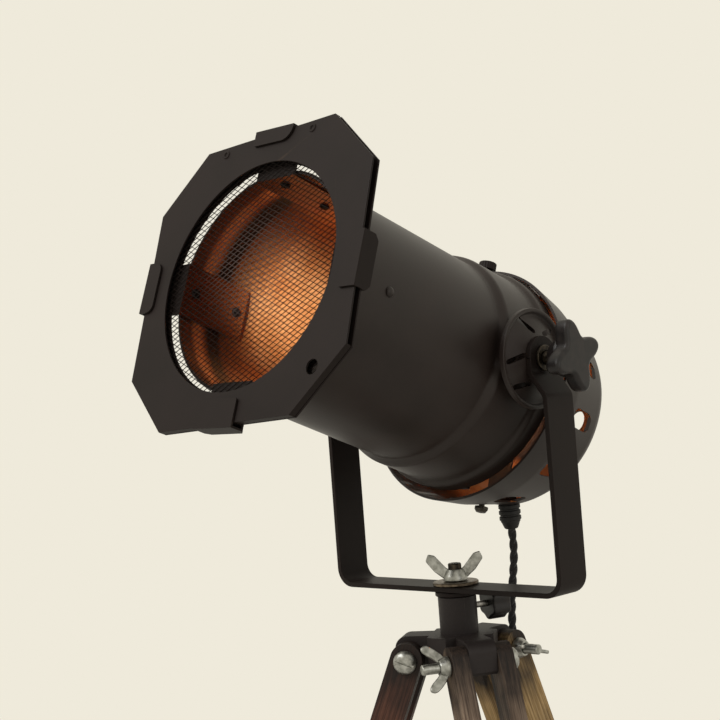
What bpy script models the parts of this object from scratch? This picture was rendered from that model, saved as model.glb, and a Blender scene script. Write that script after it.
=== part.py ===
"""A theatre lamp on a small folding wooden tripod.

A sheet-metal barrel with an octagonal colour-frame holder and a vented rear cap tilts in a
flat-bar yoke. The yoke turns on a stud over a spigot that slides in the socket of a tripod head.
Three legs fold on the head, each a pair of upper slats with a slotted lower slat between them.

Metres, +Z up. The lamp faces -Y. Heights are counted from the point midway between the two ends
of the yoke, and the stand is lifted at the end so that its feet rest at Z = 0.
"""

import math

import bmesh
import bpy
import numpy as np
from mathutils import Matrix, Vector

for old in list(bpy.data.objects):
    bpy.data.objects.remove(old, do_unlink=True)

PI = math.pi

# Clearances
seat = 0.0003  # between faces that rest on each other
running = 0.0004  # round a pin in its hole
sheet = 0.0012  # sheet metal of barrel, cap, clips and colour frame

# Pose
tilt = math.radians(20.9)  # lamp raised above level
frame_roll = math.radians(3.5)  # colour frame sits a little turned in its clips
splay = math.radians(22.0)  # each leg from the vertical

# Barrel, stations measured along the lamp's axis from the tilt axis
axis_drop = 0.0014
axis_back = 0.0005
mouth = 0.1490
barrel_radius = 0.0623
shoulder_front = 0.0190
shoulder_back = 0.0120
waist_radius = 0.0585
waist_end = -0.0080
bead_radius = 0.0600
bead_width = 0.0050
tail_radius = 0.0570
tail_start = -0.0170
tail_end = -0.0340

# Rear cap
cap_drop = 0.0020
cap_rim = -0.0240
cap_rim_radius = 0.0732
cap_crease = -0.0455
cap_crease_radius = 0.0700
cone_end = -0.0755
cone_end_radius = 0.0621
dome_depth = 0.0280
vent_count = 12
vent_length = 0.0230
vent_width = 0.0115
vent_station = -0.0600
vent_turn = math.radians(-12.8)

# Colour frame and its clips
frame_size = 0.1650
frame_chamfer = 0.0228  # corner cut, measured along a side
aperture_radius = 0.0650
frame_back = 0.1541
frame_gap = 0.0030
frame_hole_radius = 0.0040
frame_hole_place = (frame_size / 2 - 0.0215, 0.0236 - frame_size / 2)
net_size = frame_size - 0.0150
net_cells = 11
net_wire = 0.0016
net_thickness = 0.0008
clip_width = 0.0300
clip_flange_depth = 0.0110
clip_ear = 0.0026
clip_ear_chamfer = 0.0030
clip_leg_end = 0.1080

# Pivots of the tilt axis
disc_radius = 0.0288
disc_rim_plane = 0.0720
disc_dish_radius = 0.0255
disc_face_plane = 0.0695
disc_hub_radius = 0.0120
disc_thickness = 0.0020
disc_boss_radius = 0.0110
disc_slots = 6
disc_slot_width = 0.0030
disc_slot_inner = 0.0140
disc_slot_outer = 0.0250
disc_slot_turn = math.radians(109.0)
pivot_rise = 0.0015
bolt_radius = 0.0040
bolt_head_radius = 0.0075
bolt_head_height = 0.0050
washer_radius = 0.0074
washer_thickness = 0.0016

# Yoke
yoke_width = 0.0244
yoke_thickness = 0.0030
yoke_outer = 0.0870
yoke_end_outer = 0.0778
joggle_top = -0.0064
joggle_bottom = -0.0200
yoke_bottom = -0.1323
yoke_bend = 0.0100
yoke_end_height = 0.0020
disc_hub_plane = yoke_end_outer - yoke_thickness - seat  # the disc's hub meets the yoke's end

# Star knobs
knob_radius = 0.0210
knob_valley = 0.0135
knob_lobes = 4
knob_turn = math.radians(22.0)
knob_thickness = 0.0095
knob_edge = 0.0022
collar_length = 0.0070
collar_base_radius = 0.0120
collar_top_radius = 0.0080
collar_gap = 0.0082  # bare bolt between the yoke's end and the collar

# Top fastening of the yoke
flange_radius = 0.0128
flange_thickness = 0.0026
penny_radius = 0.01365
penny_thickness = 0.0020
stud_top = -0.1164
wing_turn = math.radians(44.0)

# Wing nuts
wing_hub_radius = 0.0072
wing_hub_top_radius = 0.0052
wing_hub_height = 0.0068
wing_span = 0.0172
wing_height = 0.0165
wing_thickness = 0.0024
leg_wing_scale = 0.86

# Spigot and tripod head
socket_radius = 0.0115
socket_top = -0.1355
spigot_radius = 0.0080
spigot_end = -0.1760
head_top = -0.1578
head_bottom = -0.1775
arm_width = 0.0170
arm_reach = 0.0380
arm_corner = 0.0070
hub_flat = 0.0170
hub_side = 0.0215
leg_azimuths = [math.radians(a) for a in (-30.0, 90.0, 210.0)]
hinge_radius = 0.0304
hinge_height = -0.1712
pin_radius = 0.0030
clamp_azimuth = math.radians(70.0)
clamp_height = -0.1430
clamp_rod_radius = 0.0019
clamp_knob_near = 0.0200
clamp_knob_far = 0.0320
clamp_knob_radius = 0.0100

# Legs
slat_width = 0.0192
slat_thickness = 0.00975
slat_gap = 0.0175
slat_above = 0.0110
upper_length = 0.3690
lower_start = 0.2400
leg_length = 0.6200
lower_width = 0.0190
lower_thickness = 0.0170
slot_start = lower_start + 0.0220
slot_end = leg_length - 0.1600
slide_station = upper_length - 0.0290
strap_height = 0.0140
strap_station = upper_length - 0.0090
pan_head_radius = 0.0070
pan_head_height = 0.0045

# Lampholder and bulb
holder_radius = 0.0200
holder_back = -0.0700
holder_front = -0.0250
bulb_radius = 0.0300
bulb_tip = 0.0560
bulb_neck_radius = 0.0130
bulb_wall = 0.0010
holder_bracket_width = 0.0160
holder_screw_station = -0.0580

# Cap fixings
bracket_width = 0.0200
bracket_front = -0.0190
bracket_back = -0.0320
thumb_station = -0.0310
thumb_collar_radius = 0.0035
thumb_head_radius = 0.0050
thumb_collar = 0.0030
thumb_head = 0.0055

# Cable
gland_station = -0.0810
gland_offset = 0.0018
gland_radius = 0.0068
gland_length = 0.0160
gland_neck = 0.0050
cord_diameter = 0.0053
coil_layers = 2
coil_turns = 3
coil_mean_radius = 0.0310
coil_pitch = 0.0059
coil_centre = (-0.0950, 0.0500)
plug_length = 0.0460
plug_radius = 0.0170

parts = bpy.data.collections.new("theatre_lamp")
bpy.context.scene.collection.children.link(parts)
cutters = bpy.data.collections.new("cutters")
bpy.context.scene.collection.children.link(cutters)


def material(name, colour, roughness, metallic=0.0):
    """A plain Principled material, colour as linear red, green and blue."""
    made = bpy.data.materials.new(name)
    made.use_nodes = True
    surface = made.node_tree.nodes["Principled BSDF"]
    surface.inputs["Base Color"].default_value = (*colour, 1.0)
    surface.inputs["Roughness"].default_value = roughness
    surface.inputs["Metallic"].default_value = metallic
    made.diffuse_color = (*colour, 1.0)
    return made


def finish(obj, parent, mat, location=(0, 0, 0), rotation=(0, 0, 0)):
    """Put an object in the parts collection under its parent, with its material."""
    parts.objects.link(obj)
    obj.parent = parent
    obj.location = location
    obj.rotation_euler = rotation
    if mat is not None:
        obj.data.materials.clear()
        obj.data.materials.append(material(obj.name, *mat))
    return obj


def empty(name, parent=None, location=(0, 0, 0), rotation=(0, 0, 0)):
    """A placing frame, which isn't a piece."""
    return finish(bpy.data.objects.new(name, None), parent, None, location, rotation)


def tool(obj):
    """Move an object that only cuts or joins into the cutters collection."""
    for held_in in list(obj.users_collection):
        held_in.objects.unlink(obj)
    cutters.objects.link(obj)
    obj.hide_render = True
    obj.display_type = "WIRE"
    return obj


def boolean(obj, other, operation="DIFFERENCE"):
    """Cut, join or keep the common part of two meshes with the exact solver."""
    step = obj.modifiers.new(operation.lower(), "BOOLEAN")
    step.operation = operation
    step.solver = "EXACT"
    step.object = tool(other)
    return obj


def sharp(mesh, degrees=40.0):
    """Shade a mesh smooth but for its real edges."""
    mesh.shade_smooth()
    mesh.set_sharp_from_angle(angle=math.radians(degrees))


def turned(name, profile, parent, mat, steps=24, shell=None, **place):
    """A profile of (radius, height) points turned about the local Z axis.

    The points go round the section, or from axis to axis. With shell, the profile is an open
    line that runs top to bottom, and the wall of that thickness lies on its inner side.
    """
    area = sum(a[0] * b[1] - b[0] * a[1] for a, b in zip(profile, profile[1:] + profile[:1]))
    points = profile if shell or area < 0 else profile[::-1]
    count = len(points)
    edges = [(i, i + 1) for i in range(count - 1)]
    on_axis = points[0][0] == 0 and points[-1][0] == 0
    if not shell and not on_axis:
        edges.append((count - 1, 0))
    mesh = bpy.data.meshes.new(name)
    mesh.from_pydata([(r, 0.0, z) for r, z in points], edges, [])
    obj = finish(bpy.data.objects.new(name, mesh), parent, mat, **place)
    turn = obj.modifiers.new("turn", "SCREW")
    turn.steps = steps
    turn.render_steps = steps
    turn.use_merge_vertices = True
    turn.merge_threshold = 0.00001
    turn.use_smooth_shade = True
    if shell:
        wall = obj.modifiers.new("wall", "SOLIDIFY")
        wall.thickness = shell
        wall.offset = -1.0
        wall.use_even_offset = True
    return obj


def flat(name, outlines, thickness, parent, mat, **place):
    """A plate from closed 2D outlines, centred on its own plane and made a welded mesh."""
    curve = bpy.data.curves.new(name, "CURVE")
    curve.dimensions = "2D"
    curve.fill_mode = "BOTH"
    curve.extrude = thickness / 2
    for outline in outlines:
        spline = curve.splines.new("POLY")
        spline.points.add(len(outline) - 1)
        for point, (x, y) in zip(spline.points, outline):
            point.co = (x, y, 0.0, 1.0)
        spline.use_cyclic_u = True
    drawn = bpy.data.objects.new(name + "_outline", curve)
    bpy.context.scene.collection.objects.link(drawn)
    bpy.context.view_layer.update()
    seen = drawn.evaluated_get(bpy.context.evaluated_depsgraph_get())
    mesh = bpy.data.meshes.new_from_object(seen)
    mesh.name = name
    bm = bmesh.new()
    bm.from_mesh(mesh)
    bmesh.ops.remove_doubles(bm, verts=bm.verts, dist=0.000005)
    bmesh.ops.recalc_face_normals(bm, faces=bm.faces)
    bm.to_mesh(mesh)
    bm.free()
    sharp(mesh)
    bpy.data.objects.remove(drawn, do_unlink=True)
    return finish(bpy.data.objects.new(name, mesh), parent, mat, **place)


def box(name, low, high, parent, mat, **place):
    """A box between two corners."""
    low = Vector(low)
    high = Vector(high)
    size = high - low
    bm = bmesh.new()
    bmesh.ops.create_cube(bm, size=1.0, matrix=Matrix.Diagonal((*size, 1.0)))
    bmesh.ops.translate(bm, verts=bm.verts, vec=(low + high) / 2)
    mesh = bpy.data.meshes.new(name)
    bm.to_mesh(mesh)
    bm.free()
    return finish(bpy.data.objects.new(name, mesh), parent, mat, **place)


def rod(name, radius, low, high, parent, mat=None, sides=16, **place):
    """A round bar along the local Z axis from one height to another."""
    bm = bmesh.new()
    bmesh.ops.create_cone(
        bm, cap_ends=True, segments=sides, radius1=radius, radius2=radius, depth=high - low
    )
    bmesh.ops.translate(bm, verts=bm.verts, vec=(0, 0, (low + high) / 2))
    mesh = bpy.data.meshes.new(name)
    bm.to_mesh(mesh)
    bm.free()
    sharp(mesh)
    return finish(bpy.data.objects.new(name, mesh), parent, mat, **place)


def join(name, solids, parent, mat):
    """One object that holds copies of several meshes, each where it stands under the parent."""
    bpy.context.view_layer.update()
    bm = bmesh.new()
    for solid in solids:
        before = len(bm.verts)
        bm.from_mesh(solid.data)
        bm.verts.ensure_lookup_table()
        bmesh.ops.transform(bm, matrix=solid.matrix_basis, verts=bm.verts[before:])
        bpy.data.objects.remove(solid, do_unlink=True)
    mesh = bpy.data.meshes.new(name)
    bm.to_mesh(mesh)
    bm.free()
    return finish(bpy.data.objects.new(name, mesh), parent, mat)


def circle(radius, count, centre=(0.0, 0.0), start=0.0, sweep=2 * PI, closed=True):
    """Points along a circle or an arc."""
    spans = count if closed else count - 1
    angles = [start + sweep * i / spans for i in range(count)]
    return [(centre[0] + radius * math.cos(a), centre[1] + radius * math.sin(a)) for a in angles]


def stadium(length, width, count=5):
    """A slot outline with round ends, its length along the second coordinate."""
    reach = length / 2 - width / 2
    top = circle(width / 2, count, (0.0, reach), 0.0, PI, closed=False)
    low = circle(width / 2, count, (0.0, -reach), PI, PI, closed=False)
    return top + low


# Colours, linear
BLACK = ((0.026, 0.023, 0.020), 0.55, 0.3)
GLOSS = ((0.018, 0.017, 0.016), 0.35, 0.2)
COPPER = ((0.62, 0.15, 0.03), 0.3, 0.6)
ZINC = ((0.42, 0.41, 0.38), 0.35, 0.9)
STEEL = ((0.30, 0.29, 0.27), 0.4, 0.9)
BRONZE = ((0.16, 0.10, 0.06), 0.45, 0.8)
WOOD_DARK = ((0.11, 0.055, 0.035), 0.6, 0.0)
WOOD_RED = ((0.20, 0.09, 0.05), 0.6, 0.0)
WOOD_GOLD = ((0.42, 0.23, 0.10), 0.6, 0.0)
GLASS = ((0.85, 0.83, 0.78), 0.15, 0.0)
PORCELAIN = ((0.60, 0.57, 0.50), 0.3, 0.0)
CLOTH = ((0.012, 0.012, 0.012), 0.85, 0.0)
RUBBER = ((0.015, 0.015, 0.015), 0.6, 0.0)

# Placing frames, from the floor up
stand = empty("stand")
spigot_frame = empty("spigot_frame", stand)
yoke_frame = empty("yoke_frame", spigot_frame)
head = empty("lamp_head", yoke_frame, (0, 0, pivot_rise), (PI / 2 - tilt, 0, 0))
optic = empty("optic_axis", head, (0, -axis_drop, -axis_back))
holder = empty("colour_frame", optic, rotation=(0, 0, frame_roll))

# Barrel: one drawn sheet, open at both ends, with a shoulder and a rolled bead
bead_front = waist_end - 0.001
bead_back = bead_front - bead_width + 0.001
barrel = turned(
    "barrel",
    [
        (barrel_radius, mouth),
        (barrel_radius, shoulder_front),
        (waist_radius, shoulder_back),
        (waist_radius, waist_end),
        (bead_radius, bead_front),
        (bead_radius, bead_back),
        (tail_radius, tail_start),
        (tail_radius, tail_end),
    ],
    optic,
    BLACK,
    steps=36,
    shell=sheet,
)
across = (0, PI / 2, 0)
barrel_holes = rod(
    "barrel_holes", bolt_radius + running, -0.08, 0.08, head, rotation=across, sides=16
)
boolean(barrel, barrel_holes)

# Rear cap: a cone of sheet metal with a domed end, twelve vents and two notches in its rim
cap_points = [
    (cap_rim_radius, cap_rim),
    (cap_crease_radius, cap_crease),
    (cone_end_radius, cone_end),
]
dome_rings = 4
for ring in range(1, dome_rings + 1):
    swing = PI / 2 * ring / dome_rings
    reach = cone_end_radius * math.cos(swing)
    cap_points.append((reach if ring < dome_rings else 0.0, cone_end - dome_depth * math.sin(swing)))
rear_cap = turned(
    "rear_cap",
    cap_points,
    optic,
    BLACK,
    steps=44,
    shell=sheet,
    location=(0, -cap_drop, 0),
)


def cap_radius(station):
    """Outer radius of the cap's cone and dome at a station."""
    for (r0, s0), (r1, s1) in zip(cap_points, cap_points[1:]):
        if s1 <= station <= s0:
            return r0 + (r1 - r0) * (station - s0) / (s1 - s0)
    return cap_rim_radius


cone_lean = math.atan2(cap_crease_radius - cone_end_radius, cap_crease - cone_end)
vent_radius = cap_radius(vent_station)
vent_tools = []
for vent in range(vent_count):
    turn = vent_turn + 2 * PI * vent / vent_count
    slot = flat("vent_%d" % vent, [stadium(vent_length, vent_width)], 0.012, optic, None)
    upright = Matrix.Rotation(turn, 4, "Z") @ Matrix.Translation((vent_radius, 0, vent_station))
    facing = Matrix.Rotation(-cone_lean, 4, "Y") @ Matrix(
        ((0, 0, 1, 0), (1, 0, 0, 0), (0, 1, 0, 0), (0, 0, 0, 1))
    )
    slot.matrix_basis = Matrix.Translation((0, -cap_drop, 0)) @ upright @ facing
    vent_tools.append(slot)
boolean(rear_cap, join("vents", vent_tools, optic, None))
notch = rod("rim_notches", disc_radius + 0.001, -0.09, 0.09, head, rotation=across, sides=32)
boolean(rear_cap, notch)

# Cap brackets: bent strips from the barrel's tail out to the cap's wall, top and bottom
for place, side in (("top", 1.0), ("bottom", -1.0)):
    inner = tail_radius + seat
    outer = cap_radius(thumb_station) - sheet - side * cap_drop - 0.0016
    wall = 0.0015
    shape = [
        (inner, bracket_front),
        (inner + wall, bracket_front),
        (inner + wall, bracket_back + wall),
        (outer - wall, bracket_back + wall),
        (outer - wall, bracket_front - 0.004),
        (outer, bracket_front - 0.004),
        (outer, bracket_back),
        (inner, bracket_back),
    ]
    strip = flat(
        "cap_bracket_" + place,
        [[(side * y, z) for y, z in shape]],
        bracket_width,
        optic,
        STEEL,
        rotation=(PI / 2, 0, PI / 2),
    )
    thumb_hole = rod(
        "bracket_hole_" + place,
        thumb_collar_radius * 0.6 + running,
        0.05,
        0.09,
        optic,
        location=(0, 0, thumb_station + 0.0035),
        rotation=(-side * PI / 2, 0, 0),
        sides=12,
    )
    if side > 0:
        boolean(strip, thumb_hole)
    else:
        bpy.data.objects.remove(thumb_hole, do_unlink=True)

# Thumb screw on top of the cap
thumb_place = thumb_station + 0.0035
thumb_top = cap_radius(thumb_place + thumb_collar_radius) - cap_drop + seat
thumb_pin = thumb_collar_radius * 0.6
cap_screw = turned(
    "cap_screw_top",
    [
        (0.0, thumb_top + thumb_collar + thumb_head),
        (thumb_head_radius * 0.85, thumb_top + thumb_collar + thumb_head),
        (thumb_head_radius, thumb_top + thumb_collar + thumb_head - 0.001),
        (thumb_head_radius, thumb_top + thumb_collar),
        (thumb_collar_radius, thumb_top + thumb_collar),
        (thumb_collar_radius, thumb_top),
        (thumb_pin, thumb_top),
        (thumb_pin, thumb_top - 0.0085),
        (0.0, thumb_top - 0.0085),
    ],
    optic,
    BLACK,
    steps=12,
    location=(0, 0, thumb_place),
    rotation=(-PI / 2, 0, 0),
)
screw_hole = rod(
    "cap_screw_hole",
    thumb_pin + running,
    0.055,
    0.085,
    optic,
    location=(0, 0, thumb_place),
    rotation=(-PI / 2, 0, 0),
    sides=12,
)
boolean(rear_cap, screw_hole)

# Lampholder on an L bracket that a small screw holds to the bottom of the cap
def inside_floor(station):
    """Height at which the holder's bracket rests on the cap's inner wall."""
    inner = cap_radius(station) - sheet / math.cos(cone_lean)
    return -math.sqrt(inner**2 - (holder_bracket_width / 2) ** 2) - cap_drop + seat


foot_front = holder_screw_station + 0.007
upright_back = holder_back - seat - 0.0012
holder_bracket = flat(
    "holder_bracket",
    [
        [
            (inside_floor(foot_front), foot_front),
            (inside_floor(upright_back), upright_back),
            (holder_radius * 0.5, upright_back),
            (holder_radius * 0.5, upright_back + 0.0012),
            (inside_floor(upright_back) + 0.0016, upright_back + 0.0012),
            (inside_floor(foot_front) + 0.0012, foot_front),
        ]
    ],
    holder_bracket_width,
    optic,
    STEEL,
    rotation=(PI / 2, 0, PI / 2),
)
low_head_radius = 0.0042
low_screw_rest = cap_radius(holder_screw_station + low_head_radius) + cap_drop + seat
low_screw = turned(
    "low_screw",
    [
        (0.0, 0.0040),
        (0.0030, 0.0034),
        (low_head_radius, 0.0016),
        (low_head_radius, 0.0),
        (0.0018, 0.0),
        (0.0018, -0.0062),
        (0.0, -0.0062),
    ],
    optic,
    None,
    steps=12,
    location=(0, -low_screw_rest, holder_screw_station),
    rotation=(PI / 2, 0, 0),
)
boolean(holder_bracket, low_screw, "UNION")
low_hole = rod(
    "cap_low_hole",
    0.0018 + running,
    0.050,
    0.080,
    optic,
    location=(0, 0, holder_screw_station),
    rotation=(PI / 2, 0, 0),
    sides=12,
)
boolean(rear_cap, low_hole)
lampholder = turned(
    "lampholder",
    [
        (0.0, holder_front - 0.012),
        (bulb_neck_radius + running, holder_front - 0.012),
        (bulb_neck_radius + running, holder_front),
        (holder_radius * 0.9, holder_front),
        (holder_radius, holder_front - 0.004),
        (holder_radius, holder_back + 0.012),
        (holder_radius * 0.8, holder_back),
        (0.0, holder_back),
    ],
    optic,
    PORCELAIN,
    steps=16,
)
bulb_points = [(0.0, bulb_tip)]
bulb_inner = [(0.0, bulb_tip - bulb_wall)]
for ring in range(1, 7):
    swing = 0.82 * PI * ring / 6
    middle = bulb_tip - bulb_radius
    bulb_points.append((bulb_radius * math.sin(swing), middle + bulb_radius * math.cos(swing)))
    inner = bulb_radius - bulb_wall
    bulb_inner.append((inner * math.sin(swing), middle + inner * math.cos(swing)))
cup = holder_front - 0.012 + seat
bulb_points += [(bulb_neck_radius, holder_front + 0.004), (bulb_neck_radius, cup)]
bulb_inner += [(bulb_neck_radius - bulb_wall, holder_front + 0.004), (bulb_neck_radius - bulb_wall, cup)]
turned("bulb", bulb_points + bulb_inner[::-1], optic, GLASS, steps=12)

# Colour frame: two octagonal plates a card's width apart, closed on three sides by a folded rim
half = frame_size / 2
frame_front = frame_back + 2 * sheet + frame_gap


def octagon(reach, corner):
    """A square outline with its corners cut."""
    near = reach - corner
    return [
        (reach, -near),
        (reach, near),
        (near, reach),
        (-near, reach),
        (-reach, near),
        (-reach, -near),
        (-near, -reach),
        (near, -reach),
    ]


def plate_holes():
    """The aperture and the small hole that both plates share."""
    return [
        circle(aperture_radius, 40),
        circle(frame_hole_radius, 12, frame_hole_place),
    ]


outline = octagon(half, frame_chamfer)
front_plate = flat(
    "gel_frame_front",
    [outline, *plate_holes()],
    sheet,
    holder,
    BLACK,
    location=(0, 0, frame_front - sheet / 2),
)
inner_outline = octagon(half - sheet, frame_chamfer)
rim_band = outline[2:] + outline[:1]
rim_inner = inner_outline[2:] + inner_outline[:1]
rim_depth = frame_gap + sheet * 0.5
folded_rim = flat(
    "folded_rim",
    [rim_band + rim_inner[::-1]],
    rim_depth - seat,
    holder,
    None,
    location=(0, 0, frame_front - sheet * 0.5 - (rim_depth - seat) / 2),
)
boolean(front_plate, folded_rim, "UNION")
flat(
    "gel_frame_back",
    [outline, *plate_holes()],
    sheet,
    holder,
    BLACK,
    location=(0, 0, frame_back + sheet / 2),
)

# Safety mesh between the plates
net_half = net_size / 2
cell = net_size / net_cells
opening = (cell - net_wire) / 2
net_loops = [octagon(net_half + net_wire / 2, frame_chamfer)]
for column in range(net_cells):
    for row in range(net_cells):
        x = -net_half + cell * (column + 0.5)
        y = -net_half + cell * (row + 0.5)
        if abs(x) + abs(y) + 2 * opening > 2 * net_half - frame_chamfer:
            continue
        net_loops.append(
            [
                (x - opening, y - opening),
                (x - opening, y + opening),
                (x + opening, y + opening),
                (x + opening, y - opening),
            ]
        )
flat(
    "safety_mesh",
    net_loops,
    net_thickness,
    holder,
    BLACK,
    location=(0, 0, frame_back + sheet + seat + net_thickness / 2),
)

# Four clips: a tab in front of the frame, a side flange, a step behind it and a leg in the barrel
tab_back = frame_front + seat
step_front = frame_back - seat
flange_inner = half * math.cos(frame_roll) + clip_width / 2 * math.sin(frame_roll) + seat
flange_outer = flange_inner + sheet
leg_edge = math.sqrt((barrel_radius - sheet - seat) ** 2 - (clip_width / 2) ** 2)
flange_back = tab_back + sheet - clip_flange_depth
tab_lap = {"right": 0.0113, "top": 0.0088, "left": 0.0108, "bottom": 0.0158}
for number, side in enumerate(("right", "top", "left", "bottom")):
    turned_to = empty("clip_place_" + side, optic, rotation=(0, 0, number * PI / 2))
    edge = clip_width / 2
    reach = flange_outer - tab_lap[side]
    corner = 0.006
    name = "frame_clip_" + side
    tab = flat(
        name,
        [
            [
                (flange_outer, -edge),
                (flange_outer, edge),
                (reach + corner, edge),
                (reach + corner * 0.3, edge - corner * 0.45),
                (reach, edge - corner * 1.3),
                (reach, -edge + corner * 1.3),
                (reach + corner * 0.3, -edge + corner * 0.45),
                (reach + corner, -edge),
            ]
        ],
        sheet,
        turned_to,
        BLACK,
        location=(0, 0, tab_back + sheet / 2),
    )
    flange = flat(
        name + "_flange",
        [
            [
                (tab_back + sheet * 0.5, -edge),
                (tab_back + sheet * 0.5, edge),
                (flange_back + clip_ear, edge),
                (flange_back, edge - clip_ear_chamfer),
                (flange_back, -edge + clip_ear_chamfer),
                (flange_back + clip_ear, -edge),
            ]
        ],
        sheet,
        turned_to,
        None,
        location=((flange_inner + flange_outer) / 2, 0, 0),
        rotation=(0, -PI / 2, 0),
    )
    step = box(
        name + "_step",
        (leg_edge - sheet, -edge, step_front - sheet),
        (flange_inner + sheet * 0.5, edge, step_front),
        turned_to,
        None,
    )
    leg = box(
        name + "_leg",
        (leg_edge - sheet, -edge, clip_leg_end),
        (leg_edge, edge, step_front - sheet * 0.5),
        turned_to,
        None,
    )
    for solid in (flange, step, leg):
        boolean(tab, solid, "UNION")

# Pivot discs on bosses against the barrel, dished, with six slots
disc_section = [
    (disc_hub_radius * 0.5, disc_hub_plane),
    (disc_hub_radius, disc_hub_plane - 0.0004),
    (disc_dish_radius, disc_face_plane),
    (disc_dish_radius + 0.0008, disc_rim_plane),
    (disc_radius, disc_rim_plane),
    (disc_radius, disc_rim_plane - disc_thickness - 0.0025),
    (disc_dish_radius, disc_face_plane - disc_thickness),
    (disc_boss_radius, disc_face_plane - disc_thickness),
    (disc_boss_radius, bead_radius + seat),
    (bolt_radius + running, bead_radius + seat),
    (bolt_radius + running, disc_hub_plane),
]
for place, side in (("right", 1.0), ("left", -1.0)):
    disc = turned(
        "pivot_disc_" + place,
        disc_section,
        head,
        BLACK,
        steps=20,
        rotation=(0, side * PI / 2, 0),
    )
    slot_tools = []
    slot_length = disc_slot_outer - disc_slot_inner
    for number in range(disc_slots):
        turn = disc_slot_turn + 2 * PI * number / disc_slots
        slot = flat(
            "slot_%s_%d" % (place, number),
            [stadium(slot_length, disc_slot_width, 3)],
            0.0120,
            head,
            None,
        )
        middle = Matrix.Translation((0, (disc_slot_outer + disc_slot_inner) / 2, 0))
        # the angle runs from the front of the lamp's side towards its top
        slot.matrix_basis = (
            Matrix.Rotation(side * PI / 2, 4, "Y")
            @ Matrix.Translation((0, 0, disc_face_plane))
            @ Matrix.Rotation(turn, 4, "Z")
            @ middle
        )
        slot_tools.append(slot)
    boolean(disc, join("slots_" + place, slot_tools, head, None))

    # bolt from inside the barrel out to the star knob
    arm_out = yoke_end_outer
    collar_base = arm_out + collar_gap
    star_base = collar_base + collar_length
    bolt_end = star_base + 0.004
    bolt_start = waist_radius - sheet - 0.0012
    turned(
        "pivot_bolt_" + place,
        [
            (0.0, bolt_end),
            (bolt_radius, bolt_end),
            (bolt_radius, bolt_start),
            (bolt_head_radius, bolt_start),
            (bolt_head_radius, bolt_start - bolt_head_height),
            (0.0, bolt_start - bolt_head_height),
        ],
        head,
        ZINC,
        steps=16,
        rotation=(0, side * PI / 2, 0),
    )

    # star knob: four rounded lobes on a conical collar
    knob = empty("knob_axis_" + place, head, rotation=(0, side * PI / 2, 0))
    lobes = []
    for i in range(28):
        angle = 2 * PI * i / 28
        swell = (1 + math.cos(knob_lobes * angle)) / 2
        radius = knob_valley + (knob_radius - knob_valley) * swell**0.8
        lobes.append((radius * math.cos(angle + knob_turn), radius * math.sin(angle + knob_turn)))
    star = flat(
        "star_knob_" + place,
        [lobes],
        knob_thickness,
        knob,
        GLOSS,
        location=(0, 0, star_base + knob_thickness / 2),
    )
    edge = star.modifiers.new("round", "BEVEL")
    edge.width = knob_edge
    edge.segments = 1
    edge.limit_method = "ANGLE"
    edge.angle_limit = math.radians(60)
    collar = turned(
        "collar_" + place,
        [
            (0.0, star_base + 0.003),
            (collar_base_radius * 0.9, star_base + 0.003),
            (collar_base_radius, star_base - 0.0005),
            (collar_top_radius, collar_base),
            (0.0, collar_base),
        ],
        knob,
        None,
        steps=16,
    )
    boolean(star, collar, "UNION")
    bore = rod(
        "knob_bore_" + place,
        bolt_radius + running,
        collar_base - 0.01,
        bolt_end + 0.0005,
        knob,
        sides=12,
    )
    boolean(star, bore)

# Washers under the star knobs, outside the yoke's ends
for place, side in (("right", 1.0), ("left", -1.0)):
    turned(
        "pivot_washer_" + place,
        [
            (bolt_radius + running, yoke_end_outer + seat + washer_thickness),
            (washer_radius, yoke_end_outer + seat + washer_thickness),
            (washer_radius, yoke_end_outer + seat),
            (bolt_radius + running, yoke_end_outer + seat),
        ],
        yoke_frame,
        ZINC,
        steps=16,
        location=(0, 0, pivot_rise),
        rotation=(0, side * PI / 2, 0),
    )

# Yoke: one flat bar bent into a U, its ends joggled inwards and rounded
middle_out = yoke_outer - yoke_thickness / 2
middle_end = yoke_end_outer - yoke_thickness / 2
middle_low = yoke_bottom + yoke_thickness / 2
arm_top = yoke_end_height + yoke_width / 2
half_path = [(middle_end, arm_top + 0.003), (middle_end, joggle_top), (middle_out, joggle_bottom)]
bend_centre = (middle_out - yoke_bend, middle_low + yoke_bend)
for step in range(6):
    swing = PI / 2 * step / 5
    half_path.append(
        (bend_centre[0] + yoke_bend * math.cos(swing), bend_centre[1] - yoke_bend * math.sin(swing))
    )
bm = bmesh.new()
rows = [
    [bm.verts.new((x, side * yoke_width / 2, z)) for side in (-1, 1)]
    for x, z in half_path + [(0.0, middle_low)]
]
for upper, lower in zip(rows, rows[1:]):
    bm.faces.new((upper[0], upper[1], lower[1], lower[0]))
mesh = bpy.data.meshes.new("yoke")
bm.to_mesh(mesh)
bm.free()
yoke = finish(bpy.data.objects.new("yoke", mesh), yoke_frame, BLACK)
mirror = yoke.modifiers.new("other_arm", "MIRROR")
mirror.merge_threshold = 0.00001
wall = yoke.modifiers.new("bar", "SOLIDIFY")
wall.thickness = yoke_thickness
wall.offset = 0.0
wall.use_even_offset = True
rounding = flat(
    "end_rounding",
    [
        [(-0.014, yoke_bottom - 0.01), (0.014, yoke_bottom - 0.01), (0.014, yoke_end_height)]
        + circle(yoke_width / 2, 13, (0.0, yoke_end_height), 0.0, PI, closed=False)
        + [(-0.014, yoke_end_height)]
    ],
    0.22,
    yoke_frame,
    None,
    rotation=(PI / 2, 0, PI / 2),
)
boolean(yoke, rounding, "INTERSECT")
arm_bores = rod(
    "arm_bores",
    bolt_radius + running,
    -0.1,
    0.1,
    yoke_frame,
    location=(0, 0, pivot_rise),
    rotation=across,
    sides=16,
)
boolean(yoke, arm_bores)
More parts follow.
